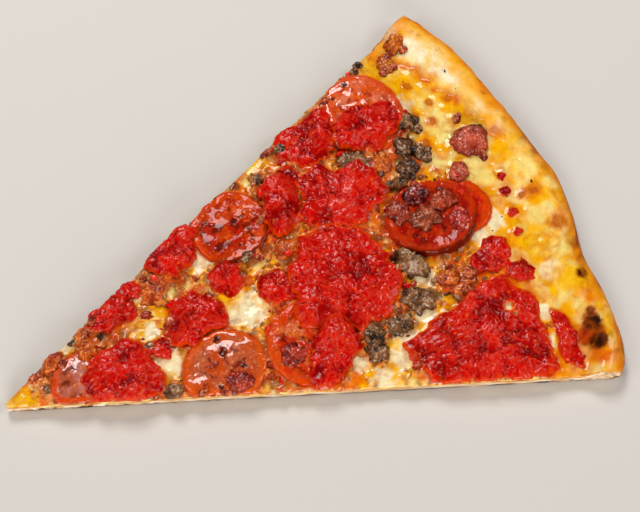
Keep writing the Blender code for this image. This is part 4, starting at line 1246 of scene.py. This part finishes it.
# ---------------------------------------------------------------- crumbs and splashes
@dataclass
class Crumbs:
    """Many small bits of one kind, strewn by a density over the bed, as one piece."""

    name: str
    slot: str
    finish: Finish
    count: int
    radii: tuple[float, float]
    tall: float
    tints: tuple
    seed: int
    spokes: int = 16
    ragged: float = 0.5

    def dress(self, bed: Bed, density: np.ndarray) -> bpy.types.Object:
        """Strews and builds the bits.

        Every bit is a dome z = z0 + h sqrt(1 - s^2) on the height at its own centre, with
        walls that reach down into whatever lies there.

        Args:
            bed: what is there already.
            density: how likely a bit is in each cell of the bed.

        Returns:
            The piece.
        """
        draw = np.random.default_rng(self.seed)
        chosen = draw.choice(density.size, self.count, p=density.ravel() / density.sum())
        cx = bed.grid[0].ravel()[chosen] + draw.uniform(-0.5, 0.5, self.count) * bed.step
        cy = bed.grid[1].ravel()[chosen] + draw.uniform(-0.5, 0.5, self.count) * bed.step
        size = self.radii[0] + (self.radii[1] - self.radii[0]) * draw.random(self.count) ** 2
        turn0, flat = draw.uniform(0, math.pi, self.count), draw.uniform(0.35, 0.9, self.count)
        turn = np.arange(self.spokes) * 2.0 * math.pi / self.spokes
        rings = np.array([0.0, 0.35, 0.62, 0.82, 0.95, 1.0])
        size, flat, turn0 = size[:, None, None], flat[:, None, None], turn0[:, None, None]
        share, way = rings[None, :, None], turn[None, None, :]
        wx, wy = cx[:, None, None] + size * np.cos(way), cy[:, None, None] + size * np.sin(way)
        out = size * (1.0 + self.ragged * layered(wx, wy, 1.1 * MM, self.seed))
        along, aside = share * out * np.cos(way), share * out * flat * np.sin(way)
        x = cx[:, None, None] + along * np.cos(turn0) - aside * np.sin(turn0)
        y = cy[:, None, None] + along * np.sin(turn0) + aside * np.cos(turn0)
        middle = bed.at(bed.height, cx, cy)[:, None, None]
        ground = np.minimum(bed.at(bed.height, x, y), middle + 0.2 * MM)
        rough = 1.0 + 0.45 * layered(x, y, 1.2 * MM, self.seed + 1) * (share < 1.0)
        dome = np.sqrt(np.clip(1.0 - share**2, 0.0, 1.0))
        z = np.where(share < 1.0, middle + size * self.tall * dome * rough, ground)
        top = np.stack([x, y, np.maximum(z, ground)], -1)
        under = top[:, [-1, 3, 0]].copy()
        under[:, 1:, :, 2] = np.minimum(ground[:, [3, 0]], middle) - 0.3 * MM
        pick = draw.integers(len(self.tints), size=self.count)
        own = np.array(self.tints)[pick][:, None, None, :]
        # painted shading: each bit lighter on its top and darker toward its edge, over a random tone
        shade = 0.45 + 0.55 * dome + 0.35 * layered(x, y, 0.9 * MM, self.seed + 2)
        tint = own * np.clip(shade, 0.15, 1.25)[..., None]
        panels = []
        for k in range(self.count):
            panels.append(Panel(top[k], tint[k], wraps=True))
            panels.append(Panel(under[k], tint[k][[-1, 3, 0]], wraps=True))
        made = skin(self.name, panels)
        made.data.materials.append(self.finish.material())
        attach(made, "root")
        return made


# ---------------------------------------------------------------- the slice as a whole
@dataclass
class Slice:
    """All pieces of the slice, in the order that the cook and the oven made them."""

    bed: Bed = field(default_factory=Bed)
    pepperoni: tuple = ("tip", "front", "low", "upper", "rim", "tucked", "right")
    beef: tuple = (
        "crust_side", "upper_a", "upper_b", "upper_c", "behind", "channel", "right",
        "low_a", "low_b", "low_c", "low_d", "front",
    )
    sausage: tuple = (
        "right_a", "right_b", "channel", "centre", "beside", "tip_a", "tip_c", "tip_b",
        "edge_a", "edge_b", "corner_a", "corner_b",
    )
    bacon: tuple = ("crust_side", "small")
    sauce: tuple = (
        "tip", "edge_left", "edge_small", "edge_mid", "left", "left_small", "mid_small", "lobe",
        "centre", "low", "top_left", "top_mid", "top_edge", "rim", "right", "small_a", "small_b",
        "strip",
    )
    crumble: tuple = ("right_a", "right_b", "right_c", "right_d", "right_e", "front", "low")

    def toppings(self) -> list[tuple[Topping, str, Finish]]:
        """Every topping with its slot and finish, in the order that they are laid."""
        made: list[tuple[Topping, str, Finish]] = []
        looks = {
            "tip": dict(heart=tone(202, 122, 112), meat=tone(186, 84, 50), dark=tone(112, 36, 16), dome=0.6),
            "front": dict(
                pocks=((-35, -11, 1.6), (-35, -17, 1.8), (-41, -29, 1.2), (-30, -25, 1.3)),
                meat=tone(204, 72, 14), dark=tone(124, 26, 6), heart=tone(200, 96, 56), ring=tone(232, 88, 4),
                fat=tone(236, 140, 96), dome=0.9
            ),
            "low": dict(pocks=((-10, -27, 0.9), (-14, -32, 0.9)), meat=tone(214, 46, 4)),
            "rim": dict(
                heart=tone(236, 122, 80), meat=tone(232, 84, 12), dark=tone(180, 40, 4), fat=tone(240, 150, 110),
                pocks=((57, 68, 1.6), (50, 64, 1.0))
            ),
            "tucked": dict(heart=tone(226, 50, 10), meat=tone(206, 18, 0), fat=tone(236, 90, 40)),
            "upper": dict(
                heart=tone(212, 64, 8), meat=tone(190, 30, 0), dark=tone(106, 10, 0), fat=tone(236, 110, 40),
                pocks=((-12, 44, 1.2), (-9, 31, 1.3)), burnt_side=-70.0
            ),
            "right": dict(
                heart=tone(200, 46, 4), meat=tone(166, 12, 0), dark=tone(96, 4, 0), ring=tone(214, 54, 0),
                fat=tone(220, 84, 36), burnt_side=-80.0
            ),
        }
        for seed, end in enumerate(self.pepperoni):
            node = f"pepperoni_{end}"
            plan = Plan.of_node(node)
            if end == "tucked":  # its near side is under the melt
                plan.reach = plan.reach * (1.0 - 0.3 * bump(TURNS, 265.0, 38.0))
            piece = Pepperoni(node, plan, 200 + seed, **looks.get(end, {}))
            made.append((piece, "pepperoni", GLAZED if end in ("front", "tip", "rim") else CURED))
        for seed, end in enumerate(self.beef):
            node = f"beef_{end}"
            seared = dict(dark=tone(26, 10, 4), mid=tone(126, 74, 42)) if end.startswith("upper") else {}
            piece = Meat(node, Plan.of_node(node), 300 + seed, crag=0.8, torn=0.3, patch=3.2 * MM, grainy=0.65, **seared)
            made.append((piece, "beef", BROWNED))
        warm = dict(dark=tone(150, 40, 2), mid=tone(224, 96, 20), light=tone(252, 168, 90))
        gold = dict(dark=tone(146, 44, 0), mid=tone(222, 106, 18), light=tone(250, 176, 76))
        for seed, end in enumerate(self.sausage):
            node, own = f"sausage_{end}", gold if end.startswith("corner") else warm
            low = 0.55 if end.startswith("corner") else 0.8
            piece = Meat(node, Plan.of_node(node), 400 + seed, crag=0.6, squash=low, patch=3 * MM, grainy=0.7, **own)
            made.append((piece, "sausage", ROASTED))
        cured = dict(dark=tone(132, 30, 14), mid=tone(216, 92, 62), light=tone(248, 164, 140))
        for seed, end in enumerate(self.bacon):
            node = f"bacon_{end}"
            piece = Meat(node, Plan.of_node(node), 500 + seed, crag=0.5, patch=5 * MM, grainy=0.6, torn=0.15,
                         burnt_side=40.0 if end == "crust_side" else None, **cured)
            made.append((piece, "bacon", ROASTED))
        for seed, end in enumerate(self.sauce):
            node = f"sauce_{end}"
            holes = ((69.5, -47.0, 1.8), (70.3, -50.5, 0.9)) if end == "right" else ()
            made.append((Sauce(node, Plan.of_node(node), 600 + seed, holes=holes), "sauce", TOMATO))
        plums = {
            "right_a": ((62, 2, 2), (152, 36, 26), (226, 140, 134)),
            "right_b": ((76, 4, 0), (170, 52, 26), (228, 140, 110)),
            "right_c": ((84, 10, 2), (182, 78, 42), (230, 156, 116)),
            "right_d": ((90, 6, 0), (190, 62, 30), (236, 140, 100)),
            "right_e": ((130, 6, 2), (214, 64, 50), (246, 150, 128)),
        }
        for seed, end in enumerate(self.crumble):
            node = f"crumble_{end}"
            dark, mid, light = plums.get(end, ((104, 6, 0), (200, 58, 36), (248, 150, 130)))
            plum = dict(dark=tone(*dark), mid=tone(*mid), light=tone(*light))
            made.append((
                Meat(node, Plan.of_node(node), 700 + seed, crag=0.6, grown=1.1 * MM, rim=1.8 * MM, squash=0.75,
                     patch=3 * MM, grainy=0.6, **plum),
                "crumble", BROWNED
            ))
        return made

    def bits(self) -> list[tuple[str, str, Finish, list[Topping]]]:
        """Small pieces the frame leaves out, by kind: (x, y, long, short, turn) in mm."""
        beef = ((67, 76, 2.0, 1.8, 0), (-98.5, -1.5, 2.0, 1.1, 90), (7, 44, 3.1, 1.6, 60), (-11, 15, 2.6, 1.5, 20),
                (75, 37, 2.4, 1.4, 40), (64, 72.5, 2.2, 1.6, 30), (20.5, 52.5, 2.2, 1.6, 0), (-84, 11.5, 1.5, 1.1, 0))
        roast = ((92, 35, 2.2, 1.6, 50), (63, -28, 3.0, 2.4, 10), (57, -23, 1.7, 1.4, 0), (52, -26, 2.0, 1.6, 80),
                 (1, 27, 2.4, 1.6, 30), (-6, 13, 2.2, 1.4, 0), (15.2, 53.6, 2.6, 1.6, 20), (-101.5, 5, 2.0, 1.6, 0),
                 (-50, 24, 1.4, 1.2, 0), (-48, -28.3, 1.9, 1.2, 10), (-40.5, -31.2, 2.1, 1.1, -20), (-37, -32.4, 1.3, 0.9, 0), (93, 15, 2.2, 1.4, 70), (-78, 12, 2.4, 1.3, 40),
                 (59, -34, 2.6, 2.0, 0), (-90, 5, 2.2, 1.5, 30), (-74, 16, 2.3, 1.3, 35), (47, 65, 2.2, 1.5, 30),
                 (80.5, 74.4, 1.9, 1.4, 60), (75.5, 68, 2.4, 1.5, 30), (80, 68.6, 1.8, 1.2, 0), (87.3, 73.4, 1.5, 1.2, 0))
        red = ((95, 4, 1.7, 1.3, 20), (93, -3, 2.4, 1.7, 0), (91, -12, 2.2, 2.0, 0), (88.5, -20.5, 1.9, 1.5, 60),
               (76, 4, 3.2, 1.6, 60), (-59.5, 15, 2.6, 1.8, 30), (-62, 22, 1.8, 1.3, 0), (82.7, -33.8, 1.6, 1.2, 0),
               (-40, 3, 2.2, 1.5, 0), (31, -49, 2.0, 1.2, 0))
        warm = dict(dark=tone(124, 30, 8), mid=tone(206, 88, 44), light=tone(244, 160, 116))
        kinds = (("beef_bits", "beef", BROWNED, Meat, beef, dict(grown=0.4 * MM)), ("roast_bits", "sausage", ROASTED, Meat, roast, warm | dict(grown=0.4 * MM)),
                 ("sauce_bits", "sauce", TOMATO, Sauce, red, dict(grow=0.5 * MM)))
        return [
            (name, slot, finish, [
                kind(f"{name}_{k}", Plan.of_oval(*oval), 900 + 13 * k, lift=1.3 * MM, rim=0.9 * MM, **own)
                for k, oval in enumerate(ovals)
            ])
            for name, slot, finish, kind, ovals, own in kinds
        ]

    def mark_plans(self, toppings: list) -> None:
        """Notes on the bed's raster what lies near: red fat, meat juice, held-up melt."""
        red, meat = np.zeros(self.bed.height.shape), np.zeros(self.bed.height.shape)
        for piece, slot, _ in toppings:
            cut = self.bed.window(piece.plan.centre, piece.plan.reach.max())
            inside = piece.plan.share(self.bed.grid[0][cut], self.bed.grid[1][cut]) < 1.0
            covered = red if slot in ("sauce", "pepperoni") else meat
            covered[cut] = np.maximum(covered[cut], inside)
        self.bed.near["red"] = self.bed.softened(red, 3.0 * MM)
        self.bed.near["edge"] = self.bed.softened(red, 0.7 * MM)
        self.bed.near["meat"] = self.bed.softened(meat, 1.6 * MM)
        self.bed.near["held"] = self.bed.softened(np.maximum(red, meat), 1.4 * MM)
        self.bed.near["red_plan"], self.bed.near["meat_plan"] = red, meat

    def strew(self) -> None:
        """Strews splashes of sauce and crumbs of meat where the cook's hand and oven left them."""
        gx, gy = self.bed.grid
        near = self.bed.near
        angle, far = PIE.polar(gx, gy)
        rim = PIE.edge(angle) - far
        on_slice = (PIE.to_cut(gx, gy) > 1.8 * MM) & (gx < 92 * MM)
        bare = on_slice * (1.0 - near["red_plan"]) * (1.0 - 0.95 * MELT.calm(gx, gy))
        splash = bare * near["red"] * (near["red"] > 0.12) * np.exp(3.0 * near["edge"])
        open_bed = bare * (1.0 - near["meat_plan"]) * eased(88 * MM, 60 * MM, gx)
        strewn = (
            Crumbs("sauce_splashes", "sauce", TOMATO, 55, (0.7 * MM, 2.6 * MM), 0.28,
                   (tone(222, 6, 0), tone(244, 40, 6), tone(200, 2, 0)), 801, spokes=20),
            Crumbs("sausage_crumbs", "sausage", ROASTED, 80, (0.7 * MM, 2.6 * MM), 0.3,
                   (tone(226, 100, 30), tone(190, 66, 18), tone(240, 134, 56), tone(176, 48, 20)), 802),
            Crumbs("beef_crumbs", "beef", BROWNED, 34, (0.5 * MM, 2.2 * MM), 0.32,
                   (tone(150, 88, 48), tone(104, 56, 26), tone(190, 136, 92), tone(66, 32, 12)), 803),
            Crumbs("crust_flecks", "dough", BAKED, 14, (0.35 * MM, 0.8 * MM), 0.4,
                   (tone(150, 82, 28), tone(90, 44, 16), tone(60, 28, 12)), 804, spokes=10),
        )
        densities = (
            splash,
            open_bed * (0.25 + 2.0 * near["meat"] + 0.8 * near["edge"]),
            open_bed * (0.08 + 2.5 * near["meat"]),
            (PIE.to_cut(gx, gy) > 1 * MM) * (gx > 60 * MM) * (rim > 8 * MM) * (1.0 - near["red_plan"]),
        )
        for crumbs, density in zip(strewn, densities):
            report(crumbs.dress(self.bed, density))

    def dress(self) -> None:
        """Builds every piece and reports it."""
        toppings = self.toppings()
        bits = self.bits()
        self.mark_plans(toppings + [(piece, slot, finish) for _, slot, finish, some in bits for piece in some])
        report(Dough().dress(self.bed))
        cheese = Cheese()
        report(cheese.dress(self.bed))
        gx, gy = self.bed.grid
        sag = np.clip(-PIE.to_cut(gx, gy), 0.0, 3 * MM) * 0.4
        self.bed.height = cheese.height(gx, gy, self.bed) - sag
        for piece, slot, finish in toppings:
            made = skin(f"{piece.name}_laid", piece.lay(self.bed))
            made.data.materials.append(finish.material())
            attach(made, "root")
            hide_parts(piece.name)
            report(made)
        for name, slot, finish, pieces in bits:
            made = skin(name, [panel for piece in pieces for panel in piece.lay(self.bed)])
            made.data.materials.append(finish.material())
            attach(made, "root")
            report(made)
        self.strew()


def report(piece: bpy.types.Object) -> None:
    """Logs a finished piece."""
    LOG.info("%s: %d faces", piece.name, len(piece.data.polygons))


# ---------------------------------------------------------------- table, light and camera
@dataclass
class Studio:
    """A pale table under soft daylight, and the camera that looks down on the slice."""

    lens: float = 70.0
    elevation: float = math.radians(65.2647)
    azimuth: float = math.radians(-25.8854)
    distance: float = 0.4862
    target: tuple = (0.0162, 0.0062, 0.0)

    def towards(self, elevation: float, azimuth: float) -> np.ndarray:
        """Unit direction of a height and a compass angle."""
        flat = math.cos(elevation)
        return np.array([math.sin(azimuth) * flat, -math.cos(azimuth) * flat, math.sin(elevation)])

    def table(self) -> bpy.types.Object:
        """The plain pale floor."""
        made = bpy.data.meshes.new("table")
        corners = np.array([(-3, -3), (3, -3), (3, 3), (-3, 3)], float)
        made.from_pydata([(x, y, 0.0) for x, y in corners], [], [(0, 1, 2, 3)])
        floor = bpy.data.objects.new("table", made)
        bpy.context.scene.collection.objects.link(floor)
        paint = bpy.data.materials.new("pale_table")
        paint.use_nodes = True
        shader = paint.node_tree.nodes["Principled BSDF"]
        shader.inputs["Base Color"].default_value = (*tone(209, 204, 198), 1.0)
        shader.inputs["Roughness"].default_value = 0.7
        shader.inputs["Specular IOR Level"].default_value = 0.3
        made.materials.append(paint)
        return floor

    def lamp(self, name: str, elevation_deg: float, azimuth_deg: float, away: float, size: float,
             power: float, colour: tuple) -> None:
        """A soft square light aimed at the slice."""
        data = bpy.data.lights.new(name, "AREA")
        data.shape, data.size, data.energy, data.color = "SQUARE", size, power, colour
        made = bpy.data.objects.new(name, data)
        place = Vector(self.towards(math.radians(elevation_deg), math.radians(azimuth_deg)) * away)
        made.location = place
        made.rotation_euler = (-place).to_track_quat("-Z", "Y").to_euler()
        bpy.context.scene.collection.objects.link(made)

    def light(self) -> None:
        """Daylight from above and behind, a weaker fill from the front, and an even sky."""
        self.lamp("window", 50.0, 172.0, 1.4, 0.5, 13.5, (1.0, 0.985, 0.965))
        self.lamp("left_fill", 42.0, -95.0, 1.5, 0.7, 6.0, (1.0, 0.985, 0.96))
        self.lamp("right_fill", 42.0, 70.0, 1.5, 0.7, 7.0, (1.0, 0.98, 0.95))
        self.lamp("front_fill", 14.0, -22.0, 1.5, 0.8, 19.0, (1.0, 0.985, 0.96))
        world = bpy.data.worlds.new("room")
        world.use_nodes = True
        world.node_tree.nodes["Background"].inputs["Color"].default_value = (0.95, 0.97, 1.0, 1.0)
        world.node_tree.nodes["Background"].inputs["Strength"].default_value = 0.05
        bpy.context.scene.world = world

    def shoot(self) -> None:
        """Places the camera: target plus the way back times the distance."""
        back = self.towards(self.elevation, self.azimuth)
        data = bpy.data.cameras.new("camera")
        data.lens, data.sensor_width = self.lens, 36.0
        made = bpy.data.objects.new("camera", data)
        made.location = Vector(self.target) + Vector(back) * self.distance
        made.rotation_euler = Vector(-back).to_track_quat("-Z", "Y").to_euler()
        bpy.context.scene.collection.objects.link(made)
        bpy.context.scene.camera = made
        bpy.context.scene.view_settings.view_transform = "Standard"

    def build(self) -> None:
        """Table, lights and camera."""
        self.table()
        self.light()
        self.shoot()


def main() -> None:
    """Dresses the slice and sets it in its studio."""
    logging.basicConfig(level=logging.INFO, format="%(name)s: %(message)s")
    Slice().dress()
    Studio().build()


if __name__ == "__main__":
    main()
